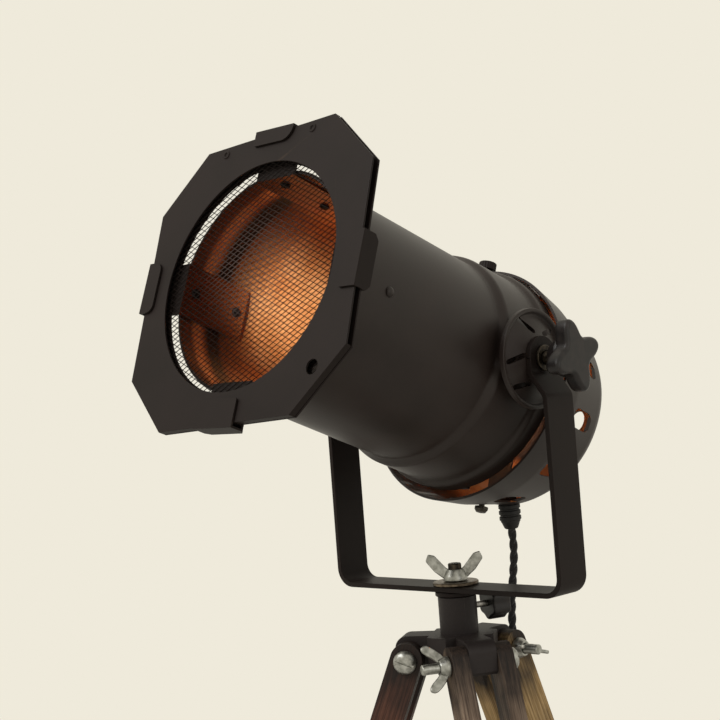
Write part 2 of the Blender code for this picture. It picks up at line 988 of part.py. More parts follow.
stud_bore = rod(
    "stud_bore", bolt_radius + running, yoke_bottom - 0.01, yoke_bottom + 0.01, yoke_frame, sides=16
)
boolean(yoke, stud_bore)

# Spigot with flange and stud, penny washer and wing nut
flange_top = yoke_bottom - seat
flange_low = flange_top - flange_thickness
yoke_floor = yoke_bottom + yoke_thickness
turned(
    "spigot",
    [
        (0.0, stud_top - 0.003),
        (0.0022, stud_top - 0.003),
        (0.0022, stud_top),
        (bolt_radius, stud_top),
        (bolt_radius, flange_top),
        (flange_radius, flange_top),
        (flange_radius, flange_low),
        (spigot_radius, flange_low),
        (spigot_radius, spigot_end + 0.001),
        (spigot_radius - 0.001, spigot_end),
        (0.0, spigot_end),
    ],
    spigot_frame,
    BLACK,
    steps=18,
)
penny_low = yoke_floor + seat
turned(
    "penny_washer",
    [
        (bolt_radius + running, penny_low + penny_thickness),
        (penny_radius, penny_low + penny_thickness),
        (penny_radius, penny_low),
        (bolt_radius + running, penny_low),
    ],
    spigot_frame,
    BRONZE,
    steps=24,
)


def wing_nut(name, bore, scale, parent, mat, **place):
    """A hub with two upswept wings, its foot at local Z = 0 and its bore along Z."""
    wing = [
        (wing_hub_top_radius * 0.4, wing_hub_height * 0.15),
        (wing_hub_radius * 0.9, wing_hub_height * 0.15),
        (wing_span * 0.72, wing_height * 0.36),
        (wing_span, wing_height * 0.75),
        (wing_span * 0.90, wing_height),
        (wing_span * 0.68, wing_height * 0.94),
        (wing_hub_top_radius * 0.95, wing_hub_height * 1.1),
        (wing_hub_top_radius * 0.4, wing_hub_height * 0.9),
    ]
    hub = turned(
        name,
        [
            (0.0, wing_hub_height * scale),
            (wing_hub_top_radius * scale, wing_hub_height * scale),
            (wing_hub_radius * scale, wing_hub_height * 0.35 * scale),
            (wing_hub_radius * scale, 0.0),
            (0.0, 0.0),
        ],
        parent,
        mat,
        steps=12,
        **place,
    )
    for side in (1.0, -1.0):
        blade = flat(
            name + ("_wing_a" if side > 0 else "_wing_b"),
            [[(side * x * scale, z * scale) for x, z in wing]],
            wing_thickness * scale,
            hub,
            None,
            rotation=(PI / 2, 0, 0),
        )
        boolean(hub, blade, "UNION")
    hole = rod(
        name + "_bore", bore + running, -0.01, wing_height * scale + 0.01, hub, sides=8
    )
    return boolean(hub, hole)


wing_nut(
    "wing_nut_top",
    bolt_radius,
    1.0,
    spigot_frame,
    ZINC,
    location=(0, 0, penny_low + penny_thickness + seat),
    rotation=(0, 0, wing_turn),
)

# Tripod head: socket tube, hexagonal hub and three arms in one casting
bore_radius = spigot_radius + running
faces = []
for azimuth in leg_azimuths:
    faces.append((azimuth, hub_flat))
    faces.append((azimuth + PI / 3, hub_side))
hub_outline = []
for (a0, d0), (a1, d1) in zip(faces, faces[1:] + faces[:1]):
    span = math.cos(a0) * math.sin(a1) - math.sin(a0) * math.cos(a1)
    x = (d0 * math.sin(a1) - d1 * math.sin(a0)) / span
    y = (d1 * math.cos(a0) - d0 * math.cos(a1)) / span
    hub_outline.append((x, y))
head_height = head_top - head_bottom
casting = flat(
    "tripod_head",
    [hub_outline],
    head_height,
    stand,
    BLACK,
    location=(0, 0, (head_top + head_bottom) / 2),
)
socket = rod(
    "socket_tube", socket_radius, head_top - 0.004, socket_top - seat, stand, sides=18
)
boolean(casting, socket, "UNION")
for number, azimuth in enumerate(leg_azimuths, 1):
    arm = flat(
        "arm_%d" % number,
        [
            [
                (hub_flat * 0.6, head_bottom),
                (arm_reach - 0.002, head_bottom),
                (arm_reach, head_bottom + 0.002),
            ]
            + circle(
                arm_corner,
                5,
                (arm_reach - arm_corner, head_top - arm_corner),
                0.0,
                PI / 2,
                closed=False,
            )
            + [(hub_flat * 0.6, head_top)]
        ],
        arm_width,
        stand,
        None,
        rotation=(PI / 2, 0, azimuth),
    )
    boolean(casting, arm, "UNION")
    pin_hole = rod(
        "pin_hole_%d" % number,
        pin_radius + running,
        -0.02,
        0.02,
        stand,
        location=(hinge_radius * math.cos(azimuth), hinge_radius * math.sin(azimuth), hinge_height),
        rotation=(PI / 2, 0, azimuth),
        sides=12,
    )
    boolean(casting, pin_hole)
boolean(casting, rod("socket_bore", bore_radius, head_bottom - 0.01, socket_top + 0.01, stand, sides=18))
clamp_hole = rod(
    "clamp_hole",
    clamp_rod_radius + running,
    0.004,
    0.02,
    stand,
    location=(0, 0, clamp_height),
    rotation=(0, PI / 2, clamp_azimuth),
    sides=10,
)
boolean(casting, clamp_hole)

# Clamp screw with its knob
clamp_lobes = []
for i in range(30):
    angle = 2 * PI * i / 30
    dent = 0.0014 * (1 - math.cos(6 * angle)) / 2
    radius = clamp_knob_radius - dent
    clamp_lobes.append((radius * math.cos(angle), radius * math.sin(angle)))
clamp_frame = empty("clamp_axis", stand, (0, 0, clamp_height), (0, PI / 2, clamp_azimuth))
clamp_screw = flat(
    "clamp_screw",
    [clamp_lobes],
    clamp_knob_far - clamp_knob_near,
    clamp_frame,
    GLOSS,
    location=(0, 0, (clamp_knob_far + clamp_knob_near) / 2),
)
clamp_rod = rod(
    "clamp_rod", clamp_rod_radius, spigot_radius + seat, clamp_knob_near + 0.003, clamp_frame, sides=10
)
boolean(clamp_screw, clamp_rod, "UNION")

# Legs
slat_side = slat_gap / 2 + slat_thickness / 2
outside = slat_gap / 2 + slat_thickness
upper_mats = (WOOD_DARK, WOOD_GOLD, WOOD_RED)
for number, azimuth in enumerate(leg_azimuths, 1):
    hinge = empty(
        "leg_%d" % number,
        stand,
        (hinge_radius * math.cos(azimuth), hinge_radius * math.sin(azimuth), hinge_height),
        (0, -splay, azimuth),
    )
    top_round = circle(
        slat_width / 2, 7, (0.0, slat_above - slat_width / 2), 0.0, PI, closed=False
    )
    slat = top_round + [(-slat_width / 2, -upper_length), (slat_width / 2, -upper_length)]
    holes = [
        circle(pin_radius + running, 10),
        circle(pin_radius + running, 10, (0.0, -slide_station)),
    ]
    for letter, side in (("a", -1.0), ("b", 1.0)):
        flat(
            "upper_slat_%d%s" % (number, letter),
            [slat, *holes],
            slat_thickness,
            hinge,
            upper_mats[number - 1],
            location=(0, side * slat_side, 0),
            rotation=(PI / 2, 0, 0),
        )
    foot_slope = math.tan(splay) * lower_width / 2
    slot_middle = -(slot_start + slot_end) / 2
    slot_loop = [
        (x, z + slot_middle)
        for x, z in stadium(slot_end - slot_start, 2 * (pin_radius + running), 5)
    ]
    flat(
        "lower_slat_%d" % number,
        [
            [
                (lower_width / 2, -lower_start - 0.003),
                (lower_width / 2 - 0.003, -lower_start),
                (-lower_width / 2 + 0.003, -lower_start),
                (-lower_width / 2, -lower_start - 0.003),
                (-lower_width / 2, -leg_length + foot_slope),
                (lower_width / 2, -leg_length - foot_slope),
            ],
            slot_loop,
        ],
        lower_thickness,
        hinge,
        upper_mats[number - 1],
        rotation=(PI / 2, 0, 0),
    )
    strap_in = (slat_width / 2 + seat, outside + seat)
    strap_out = (strap_in[0] + sheet, strap_in[1] + sheet)
    flat(
        "strap_%d" % number,
        [
            [(sx * x, sy * y) for sx, sy in ((1, 1), (-1, 1), (-1, -1), (1, -1))]
            for x, y in (strap_out, strap_in)
        ],
        strap_height,
        hinge,
        STEEL,
        location=(0, 0, -strap_station),
    )
    for kind, station in (("hinge", 0.0), ("slide", slide_station)):
        base = -outside - seat
        tip = outside + 0.0165
        turned(
            "%s_bolt_%d" % (kind, number),
            [
                (0.0, tip),
                (pin_radius, tip),
                (pin_radius, base),
                (pan_head_radius, base),
                (pan_head_radius, base - 0.0012),
                (pan_head_radius * 0.8, base - 0.0012),
                (pan_head_radius * 0.6, base - pan_head_height),
                (0.0, base - pan_head_height),
            ],
            hinge,
            ZINC,
            steps=10,
            location=(0, 0, -station),
            rotation=(PI / 2, 0, 0),
        )
        wing_nut(
            "%s_nut_%d" % (kind, number),
            pin_radius,
            leg_wing_scale,
            hinge,
            ZINC,
            location=(0, -outside - seat, -station),
            rotation=(PI / 2, math.radians(20.0 * number + (70.0 if kind == "slide" else 0.0)), 0),
        )

# Cable gland under the cap, square to the dome
gland_wall = cap_radius(gland_station)
lean = math.atan2(cap_radius(gland_station + 0.003) - cap_radius(gland_station - 0.003), 0.006)
gland_frame = empty(
    "gland_axis",
    optic,
    (gland_offset, -(gland_wall + cap_drop), gland_station),
    (PI / 2 + lean, 0, 0),
)
gland_points = [(0.0, gland_length)]
cord_radius = cord_diameter / 2
gland_tip = cord_radius + 0.0012
ribs = 3
gland_points.append((gland_tip, gland_length))
taper_end = gland_length * 0.68
rib_step = taper_end / ribs
for rib in range(ribs):
    high = taper_end - rib * rib_step
    gland_points.append((gland_radius, high))
    gland_points.append((gland_radius, high - rib_step * 0.6))
    gland_points.append((gland_radius - 0.0007, high - rib_step * 0.7))
    gland_points.append((gland_radius - 0.0007, high - rib_step * 0.95))
gland_points[-1] = (gland_radius - 0.0007, seat)
gland_points += [(gland_neck, seat), (gland_neck, -0.0040), (0.0, -0.0040)]
cable_gland = turned("cable_gland", gland_points, gland_frame, RUBBER, steps=14)
gland_hole = rod("gland_hole", gland_neck + running, -0.008, 0.008, gland_frame, sides=16)
boolean(rear_cap, gland_hole)

# Cable: out of the gland, between the rear leg's slats to the stand's middle, over the floor to its coil
bpy.context.view_layer.update()
floor = hinge_height - leg_length * math.cos(splay)
lying = floor + cord_radius + 0.0003
exit_point = gland_frame.matrix_world @ Vector((0, 0, gland_length + seat))
exit_way = (gland_frame.matrix_world.to_3x3() @ Vector((0, 0, 1))).normalized()
coil_outer = coil_mean_radius + coil_pitch * coil_turns / 2
coil_raise = 0.0011
coil_start = Vector((coil_centre[0], coil_centre[1] + coil_outer, lying + coil_raise))
route = [
    exit_point,
    exit_point + 0.012 * exit_way,
    Vector((0.0022, 0.0500, -0.1400)),
    Vector((0.0020, 0.0470, -0.1750)),
    Vector((0.0012, 0.0450, -0.2150)),
    Vector((0.0004, 0.0350, -0.2600)),
    Vector((-0.0006, 0.0190, -0.3080)),
    Vector((-0.0014, 0.0105, -0.3600)),
    Vector((-0.0018, 0.0080, -0.4400)),
    Vector((-0.0016, 0.0085, -0.5600)),
    Vector((-0.0018, 0.0070, floor + 0.1000)),
    Vector((-0.0040, 0.0060, floor + 0.0560)),
    Vector((-0.0105, 0.0080, floor + 0.0190)),
    Vector((-0.0240, 0.0190, lying + 0.0012)),
    Vector((-0.0360, 0.0390, lying + 0.0004)),
    Vector((-0.0440, 0.0640, lying + 0.0004)),
    Vector((-0.0570, 0.0840, lying + 0.0004)),
    Vector((-0.0700, 0.0896, lying + coil_raise)),
    coil_start + Vector((0.0080, 0.0, 0.0)),
    coil_start + Vector((0.0060, 0.0, 0.0)),
]


def smooth_route(points, spacing):
    """Evenly spaced points along one smooth curve through the given ones."""
    knots = np.array([tuple(p) for p in points])
    lengths = np.concatenate([[0.0], np.cumsum(np.linalg.norm(np.diff(knots, axis=0), axis=1))])
    count = len(knots)
    gaps = np.diff(lengths)
    system = np.zeros((count, count))
    right = np.zeros((count, 3))
    system[0, 0] = system[-1, -1] = 1.0
    for i in range(1, count - 1):
        system[i, i - 1] = gaps[i - 1]
        system[i, i] = 2 * (gaps[i - 1] + gaps[i])
        system[i, i + 1] = gaps[i]
        rise = (knots[i + 1] - knots[i]) / gaps[i] - (knots[i] - knots[i - 1]) / gaps[i - 1]
        right[i] = 6 * rise
    bend = np.linalg.solve(system, right)
    fine = []
    for i in range(count - 1):
        h = gaps[i]
        for u in np.linspace(0.0, 1.0, 40, endpoint=i == count - 2):
            near = 1 - u
            fine.append(
                near * knots[i]
                + u * knots[i + 1]
                + h * h / 6 * ((near**3 - near) * bend[i] + (u**3 - u) * bend[i + 1])
            )
    fine = np.array(fine)
    run = np.concatenate([[0.0], np.cumsum(np.linalg.norm(np.diff(fine, axis=0), axis=1))])
    marks = np.linspace(0.0, run[-1], max(2, round(run[-1] / spacing) + 1))
    return np.stack([np.interp(marks, run, fine[:, k]) for k in range(3)], axis=1)


def tube(name, points, resolution):
    """A cable along points, with filled ends."""
    curve = bpy.data.curves.new(name, "CURVE")
    curve.dimensions = "3D"
    curve.bevel_depth = cord_radius
    curve.bevel_resolution = resolution
    curve.use_fill_caps = True
    spline = curve.splines.new("POLY")
    spline.points.add(len(points) - 1)
    for point, place in zip(spline.points, points):
        point.co = (*place, 1.0)
    return finish(bpy.data.objects.new(name, curve), stand, CLOTH)


cord_points = smooth_route(route, 0.0005)
cord_marks = {"cord_head": (None, -0.1150), "cord_yoke": (-0.1150, -0.1500), "cord": (-0.1500, None)}
for name, (upper, lower) in cord_marks.items():
    stretch = cord_points
    if lower is not None:
        stretch = stretch[stretch[:, 2] > lower + seat / 2]
    if upper is not None:
        past = np.argmax(stretch[:, 2] < upper - seat / 2)
        stretch = stretch[past:]
    count = max(5, round(len(stretch) * 0.0005 / (2.9 * cord_diameter)) + 1)
    tube(name, stretch[np.linspace(0, len(stretch) - 1, count).round().astype(int)], 2)

# Coil: its turns spiral in, climb a layer and spiral out again, then run straight to the plug
loop_points = 24
climb = 0.25
coil_path = [coil_start + Vector((0.0057, 0.0, 0.0))]
for i in range(coil_layers * coil_turns * loop_points + 1):
    turn = i / loop_points
    layer = min(int(turn // coil_turns), coil_layers - 1)
    within = turn - layer * coil_turns
    radius = coil_outer - coil_pitch * (within if layer % 2 == 0 else coil_turns - within)
    level = float(layer)
    if within < climb and layer > 0:
        level -= 0.5 * (1 - within / climb)
    if within > coil_turns - climb and layer < coil_layers - 1:
        level += 0.5 * (1 - (coil_turns - within) / climb)
    angle = PI / 2 + 2 * PI * turn
    coil_path.append(
        Vector(
            (
                coil_centre[0] + radius * math.cos(angle),
                coil_centre[1] + radius * math.sin(angle),
                lying + coil_raise + coil_pitch * level,
            )
        )
    )
plug_axis = floor + plug_radius + 0.0003
coil_end = coil_path[-1]
tail_length = 0.0400
for part in range(1, 6):
    share = part / 5
    ease = share * share * (3 - 2 * share)
    coil_path.append(
        Vector(
            (
                coil_end.x - tail_length * share,
                coil_end.y,
                coil_end.z + (plug_axis - coil_end.z) * ease,
            )
        )
    )
coil_path.append(coil_path[-1] + Vector((-cord_diameter, 0.0, 0.0)))
tube("cord_coil", [tuple(p) for p in coil_path], 1)
track = np.array([tuple(p) for p in coil_path])
least = 1.0
for i in range(0, len(track) - loop_points // 2):
    far = np.linalg.norm(track[i + loop_points // 2 :] - track[i], axis=1).min()
    least = min(least, far)
print("coil: least gap to itself %.2f mm" % (1000 * (least - cord_diameter)))
run = sum((b - a).length for a, b in zip(coil_path, coil_path[1:]))
free = np.linalg.norm(np.diff(cord_points, axis=0), axis=1).sum()
print("cable: %.3f m free and %.3f m coiled" % (free, run))

# Tie round the coil's turns, at half a turn from the cable's way in
tie_wall = 0.0006
tie_room = 0.0006
tie_in = coil_outer - coil_pitch * (coil_turns - 0.5) - cord_radius - tie_room
tie_out = coil_outer - coil_pitch * 0.5 + cord_radius + tie_room
tie_low = floor + 0.0003 + tie_wall
tie_high = coil_start.z + coil_pitch * (coil_layers - 1) + cord_radius + tie_room


def loop(x0, x1, z0, z1):
    """A rectangle with cut corners."""
    cut = 0.0012
    return [
        (x0 + cut, z0),
        (x1 - cut, z0),
        (x1, z0 + cut),
        (x1, z1 - cut),
        (x1 - cut, z1),
        (x0 + cut, z1),
        (x0, z1 - cut),
        (x0, z0 + cut),
    ]


flat(
    "cord_tie",
    [
        loop(tie_in - tie_wall, tie_out + tie_wall, tie_low - tie_wall, tie_high + tie_wall),
        loop(tie_in, tie_out, tie_low, tie_high),
    ],
    0.0060,
    stand,
    RUBBER,
    location=(*coil_centre, 0),
    rotation=(PI / 2, 0, -PI / 2),
)

# Plug: a round two-pin plug lying beside the coil
plug_start = coil_path[-1].x - seat
plug_neck = cord_radius + 0.0016
plug = turned(
    "plug",
    [
        (0.0, plug_length),
        (plug_radius * 0.92, plug_length),
        (plug_radius, plug_length - 0.002),
        (plug_radius, plug_length * 0.55),
        (plug_radius * 0.62, plug_length * 0.38),
        (plug_neck + 0.0010, plug_length * 0.22),
        (plug_neck, 0.0),
        (0.0, 0.0),
    ],
    stand,
    RUBBER,
    steps=18,
    location=(plug_start, coil_end.y, plug_axis),
    rotation=(0, -PI / 2, 0),
)
for side in (1.0, -1.0):
    pin = turned(
        "plug_pin_a" if side > 0 else "plug_pin_b",
        [
            (0.0, plug_length + 0.019),
            (0.0014, plug_length + 0.019),
            (0.0024, plug_length + 0.017),
            (0.0024, plug_length - 0.004),
            (0.0, plug_length - 0.004),
        ],
        plug,
        None,
        steps=8,
        location=(0, side * 0.0095, 0),
    )
    boolean(plug, pin, "UNION")

# Lift the stand so that the part, without the cable, stands centred on Z = 0
bpy.context.view_layer.update()
graph = bpy.context.evaluated_depsgraph_get()
low = Vector((1e9, 1e9, 1e9))
high = -low
for obj in parts.objects:
    if obj.type == "EMPTY" or obj.name.startswith("cord") or obj.name == "plug":
        continue
    seen = obj.evaluated_get(graph)
    mesh = seen.to_mesh()
    for vertex in mesh.vertices:
        place = seen.matrix_world @ vertex.co
        for axis in range(3):
            low[axis] = min(low[axis], place[axis])
            high[axis] = max(high[axis], place[axis])
    seen.to_mesh_clear()
stand.location = (-(low.x + high.x) / 2, -(low.y + high.y) / 2, -low.z)
bpy.context.view_layer.update()
print("stand lifted by", tuple(round(v, 6) for v in stand.location))
print("box", tuple(round(v, 4) for v in high - low))
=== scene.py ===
"""The looks of a theatre lamp on a folding wooden tripod.

Each visible piece is modelled finer than its solid and takes its place: pressed and turned sheet
metal, folded clips, expanded-metal mesh, cast iron, stained timber and a twisted cloth cable.
"""

from math import atan2, cos, hypot, pi as PI, radians, sin, sqrt, tan

import bpy
import numpy as np
from mathutils import Euler, Matrix, Vector


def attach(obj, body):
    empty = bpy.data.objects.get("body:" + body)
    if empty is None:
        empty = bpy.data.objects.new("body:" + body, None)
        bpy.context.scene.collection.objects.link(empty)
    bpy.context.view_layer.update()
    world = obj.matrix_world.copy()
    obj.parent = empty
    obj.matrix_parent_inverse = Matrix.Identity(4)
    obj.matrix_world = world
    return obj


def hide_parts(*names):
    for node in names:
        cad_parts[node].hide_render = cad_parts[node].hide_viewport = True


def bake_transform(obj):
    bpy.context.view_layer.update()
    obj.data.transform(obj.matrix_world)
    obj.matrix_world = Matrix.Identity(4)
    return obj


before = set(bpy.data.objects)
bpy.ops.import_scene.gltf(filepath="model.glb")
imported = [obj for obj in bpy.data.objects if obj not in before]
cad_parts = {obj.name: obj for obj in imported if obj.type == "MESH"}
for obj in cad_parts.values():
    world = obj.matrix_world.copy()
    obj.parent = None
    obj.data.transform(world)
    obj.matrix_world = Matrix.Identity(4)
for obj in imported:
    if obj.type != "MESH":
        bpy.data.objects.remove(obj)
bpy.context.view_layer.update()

# Sizes shared with the solids, in metres
seat = 0.0003
running = 0.0004
sheet = 0.0012
tilt = radians(20.9)
frame_roll = radians(3.5)
splay = radians(22.0)
lift = Vector((0.0, -0.046113, 0.746054))
floor = -0.746054
pivot_rise = 0.0015
barrel_radius = 0.0623
waist_radius = 0.0657
tail_radius = 0.0684
mouth = 0.1515
tail_end = -0.0250
cap_drop = 0.0020
bolt_radius = 0.0040
disc_radius = 0.0288
cord_radius = 0.00265


def shift(x=0.0, y=0.0, z=0.0):
    """A move."""
    return Matrix.Translation((x, y, z))


def spin(x=0.0, y=0.0, z=0.0):
    """A turn about X, then Y, then Z."""
    return Euler((x, y, z)).to_matrix().to_4x4()


def linked(name, data):
    """A new object in the scene."""
    obj = bpy.data.objects.new(name, data)
    bpy.context.scene.collection.objects.link(obj)
    return obj


# Placing frames: stand at the pivots' height, head tilted, optic on the barrel's axis
stand = Matrix.Translation(lift)
head = stand @ shift(z=pivot_rise) @ spin(x=PI / 2 - tilt)
optic_drop = 0.0014
optic_back = 0.0005
optic = head @ shift(y=-optic_drop, z=-optic_back)
holder = optic @ spin(z=frame_roll)
hinge_radius = 0.0304
hinge_height = -0.1712
leg_azimuths = [radians(a) for a in (-30.0, 90.0, 210.0)]


def hinge_place(azimuth):
    """Where a leg's hinge lies round the tripod head."""
    return shift(hinge_radius * cos(azimuth), hinge_radius * sin(azimuth), hinge_height)


legs = [stand @ hinge_place(a) @ spin(y=-splay, z=a) for a in leg_azimuths]

# Camera: from the lamp's left front, level with it and slightly rolled
view_turn = radians(44.02)
view_rise = radians(-0.64)
view_roll = radians(-4.32)
view_distance = 0.8938
view_right = -0.0476
view_up = 0.00516
level = cos(view_rise)
back = Vector((sin(view_turn) * level, -cos(view_turn) * level, sin(view_rise)))
level_right = (-back).cross(Vector((0, 0, 1))).normalized()
level_up = level_right.cross(-back)
right = level_right * cos(view_roll) + level_up * sin(view_roll)
up = level_up * cos(view_roll) - level_right * sin(view_roll)
eye = lift + back * view_distance + right * view_right + up * view_up
sight = bpy.data.cameras.new("camera")
sight.lens = 74.714
sight.sensor_width = 36.0
camera = linked("camera", sight)
camera.matrix_world = Matrix.Translation(eye) @ Matrix((right, up, back)).transposed().to_4x4()
bpy.context.scene.camera = camera


# Colours and materials


def colour(code):
    """An sRGB hex code as linear red, green, blue and alpha."""
    parts = [int(code[i : i + 2], 16) / 255 for i in (1, 3, 5)]
    return [p / 12.92 if p <= 0.04045 else ((p + 0.055) / 1.055) ** 2.4 for p in parts] + [1.0]


def node(tree, kind, links=(), **settings):
    """Add a node, set its named values and link the given outputs to its inputs."""
    made = tree.nodes.new(kind)
    for key, value in settings.items():
        named_input = key.replace("_", " ")
        if named_input in made.inputs:
            made.inputs[named_input].default_value = value
        else:
            setattr(made, key, value)
    for source, target in links:
        tree.links.new(source, made.inputs[target])
    return made


def surface(name, base, roughness, **more):
    """A Principled material with its tree and shader, plain values on the shader's own sockets."""
    made = bpy.data.materials.new(name)
    made.use_nodes = True
    shader = made.node_tree.nodes["Principled BSDF"]
    shader.inputs["Base Color"].default_value = colour(base)
    shader.inputs["Roughness"].default_value = roughness
    for key, value in more.items():
        shader.inputs[key.replace("_", " ")].default_value = value
    return made, made.node_tree, shader


def ramp(tree, source, stops):
    """Colours over a factor, from (place, hex code) stops."""
    made = node(tree, "ShaderNodeValToRGB", [(source, "Fac")])
    row = made.color_ramp.elements
    while len(row) < len(stops):
        row.new(0.5)
    for element, (place, code) in zip(row, stops):
        element.position = place
        element.color = colour(code)
    return made.outputs["Color"]


def spread(tree, source, low, high, start=0.0, end=1.0):
    """A factor spread from one range over another."""
    ends = {"From_Min": start, "From_Max": end, "To_Min": low, "To_Max": high}
    return node(tree, "ShaderNodeMapRange", [(source, "Value")], **ends).outputs["Result"]


def maths(tree, operation, first, second, clamp=False):
    """Two factors brought together by one operation."""
    links = [(first, 0), (second, 1)]
    return node(tree, "ShaderNodeMath", links, operation=operation, use_clamp=clamp).outputs[0]


def blended(tree, factor, first, second):
    """A mix of two colours, each a socket or a hex code."""
    made = node(tree, "ShaderNodeMix", [(factor, 0)], data_type="RGBA")
    for value, place in ((first, 6), (second, 7)):
        if isinstance(value, str):
            made.inputs[place].default_value = colour(value)
        else:
            tree.links.new(value, made.inputs[place])
    return made.outputs[2]


def attribute(tree, name):
    """Coordinates kept in a mesh attribute."""
    return node(tree, "ShaderNodeAttribute", attribute_name=name).outputs["Vector"]


def mapped(tree, place, scale, offset=(0.0, 0.0, 0.0)):
    """Coordinates scaled and moved."""
    made = node(tree, "ShaderNodeMapping", [(place, "Vector")], Location=offset, Scale=scale)
    return made.outputs["Vector"]


def own_place(tree):
    """The piece's own modelling coordinates in millimetres."""
    return mapped(tree, attribute(tree, "own"), (1000.0, 1000.0, 1000.0))


def object_noise(tree, scale, detail=3.0):
    """A cloud pattern in object coordinates, for a piece that keeps no attribute."""
    return noise(tree, node(tree, "ShaderNodeTexCoord").outputs["Object"], scale, detail)


def noise(tree, place, scale, detail=3.0):
    """A cloud pattern, its scale in features per unit of place."""
    made = node(tree, "ShaderNodeTexNoise", [(place, "Vector")], Scale=scale, Detail=detail)
    return made.outputs["Fac"]


def relief(tree, shader, height, strength, depth):
    """Bump from a height, its depth in metres."""
    made = node(tree, "ShaderNodeBump", [(height, "Height")], Strength=strength, Distance=depth)
    tree.links.new(made.outputs["Normal"], shader.inputs["Normal"])


def feed(tree, shader, **sources):
    """Link outputs to the shader's inputs by name."""
    for key, source in sources.items():
        tree.links.new(source, shader.inputs[key.replace("_", " ")])


def worn_edge(tree, breaks, start, end):
    """Where a surface turns sharply outwards, broken up by a pattern."""
    bend = node(tree, "ShaderNodeNewGeometry").outputs["Pointiness"]
    edge = spread(tree, bend, 0.0, 1.0, start, end)
    return maths(tree, "MULTIPLY", edge, spread(tree, breaks, 0.0, 1.0, 0.42, 0.6))


def stoving_enamel(name, base, dark, rubbed, roughness, gloss):
    """Satin black baked enamel on sheet steel: fine orange peel, faint smears, browned edges."""
    made, tree, shader = surface(name, base, roughness, IOR=1.5, Specular_IOR_Level=gloss)
    place = own_place(tree)
    smear = noise(tree, place, 0.03, 4.0)
    wear = worn_edge(tree, noise(tree, place, 0.25), 0.58, 0.70)
    shade = ramp(tree, smear, [(0.3, dark), (0.65, base)])
    rough = spread(tree, smear, roughness - 0.05, roughness + 0.07)
    feed(tree, shader, Base_Color=blended(tree, wear, shade, rubbed), Roughness=rough)
    # orange peel about 1 mm across
    relief(tree, shader, noise(tree, place, 0.9, 2.0), 0.10, 0.0003)
    return made


enamel = stoving_enamel("black_stoving_enamel", "#2b221e", "#231b17", "#4a382c", 0.42, 0.26)
frame_enamel = stoving_enamel("black_frame_enamel", "#241d1a", "#1f1916", "#42352a", 0.48, 0.10)


def copper_lacquer(name, shades):
    """Copper-coloured metallic lacquer, sprayed inside the head: broad, warm gloss.

    Its shades, (station in mm, hex code) pairs along its own Z axis, darken it; inside the barrel
    they paint light and shade.
    """
    made, tree, shader = surface(name, "#dc8a52", 0.36, Metallic=0.5, Coat_Weight=0.2)
    place = own_place(tree)
    cloud = noise(tree, place, 0.05)
    first, last = shades[0][0], shades[-1][0]
    along = node(tree, "ShaderNodeSeparateXYZ", [(place, "Vector")]).outputs["Z"]
    stops = [((station - first) / (last - first), code) for station, code in shades]
    # colour times the station shades: painted light and shade on the barrel and the clips' legs
    dimmed = node(tree, "ShaderNodeMix", data_type="RGBA", blend_type="MULTIPLY")
    dimmed.inputs[0].default_value = 1.0
    tree.links.new(ramp(tree, cloud, [(0.35, "#dc8d4e"), (0.65, "#e8a265")]), dimmed.inputs[6])
    tree.links.new(ramp(tree, spread(tree, along, 0.0, 1.0, first, last), stops), dimmed.inputs[7])
    feed(tree, shader, Base_Color=dimmed.outputs[2], Roughness=spread(tree, cloud, 0.30, 0.42))
    relief(tree, shader, noise(tree, place, 1.5, 2.0), 0.06, 0.0002)
    return made


# painted light and shade on the barrel's lacquer: painted shade over the first 8 mm inside the
# mouth, a painted reflection as a light band 10 to 15 mm in, a dark ring 20 to 28 mm in, then
# painted shade that fades out by 56 mm in
barrel_painted_light_and_ring = [(40.0, "#ffffff"), (95.0, "#ffffff"), (108.0, "#c8c0b8"), (121.0, "#8c7a70")]
barrel_painted_light_and_ring += [(124.0, "#242120"), (131.0, "#242120"), (134.0, "#b0a090"), (137.0, "#ffffff")]
barrel_painted_light_and_ring += [(141.0, "#ffffff"), (144.0, "#8a7468"), (152.0, "#6a564c")]
barrel_copper = copper_lacquer("barrel_copper_lacquer_painted_light", barrel_painted_light_and_ring)
# painted shade on the clips' legs: their copper lacquer darkens towards the mouth
leg_painted_shade = [(100.0, "#c8a894"), (125.0, "#8a6a58"), (155.0, "#6c5244")]
leg_copper = copper_lacquer("leg_copper_lacquer", leg_painted_shade)
# the cap's lacquer is drawn dark from its rim to 35 mm behind it and round the middle of its back,
# light between
cap_shades = [(-104.0, "#241d19"), (-99.5, "#241d19"), (-98.0, "#e8e0d8"), (-72.0, "#e8e0d8")]
cap_shades += [(-66.0, "#a08c80"), (-59.0, "#201c1a"), (-23.0, "#1c1816")]
cap_copper = copper_lacquer("cap_copper_lacquer", cap_shades)


def plated(name, base, dark, roughness):
    """Zinc-plated or plain steel, spangled and handled."""
    made, tree, shader = surface(name, base, roughness, Metallic=1.0)
    place = own_place(tree)
    cloud = noise(tree, place, 0.35, 4.0)
    spangle = node(tree, "ShaderNodeTexVoronoi", [(place, "Vector")], Scale=0.7).outputs["Distance"]
    rough = spread(tree, spangle, roughness - 0.1, roughness + 0.1)
    feed(tree, shader, Base_Color=ramp(tree, cloud, [(0.35, dark), (0.65, base)]), Roughness=rough)
    relief(tree, shader, cloud, 0.2, 0.0003)
    return made


zinc = plated("zinc_plated_steel", "#b0b0ab", "#85857f", 0.40)
steel = plated("plain_steel", "#989590", "#6f6c66", 0.38)
bronzed = plated("browned_washer_steel", "#7a6e5f", "#4c4238", 0.42)
blackened = plated("blackened_washer_steel", "#4d453b", "#2c2824", 0.45)


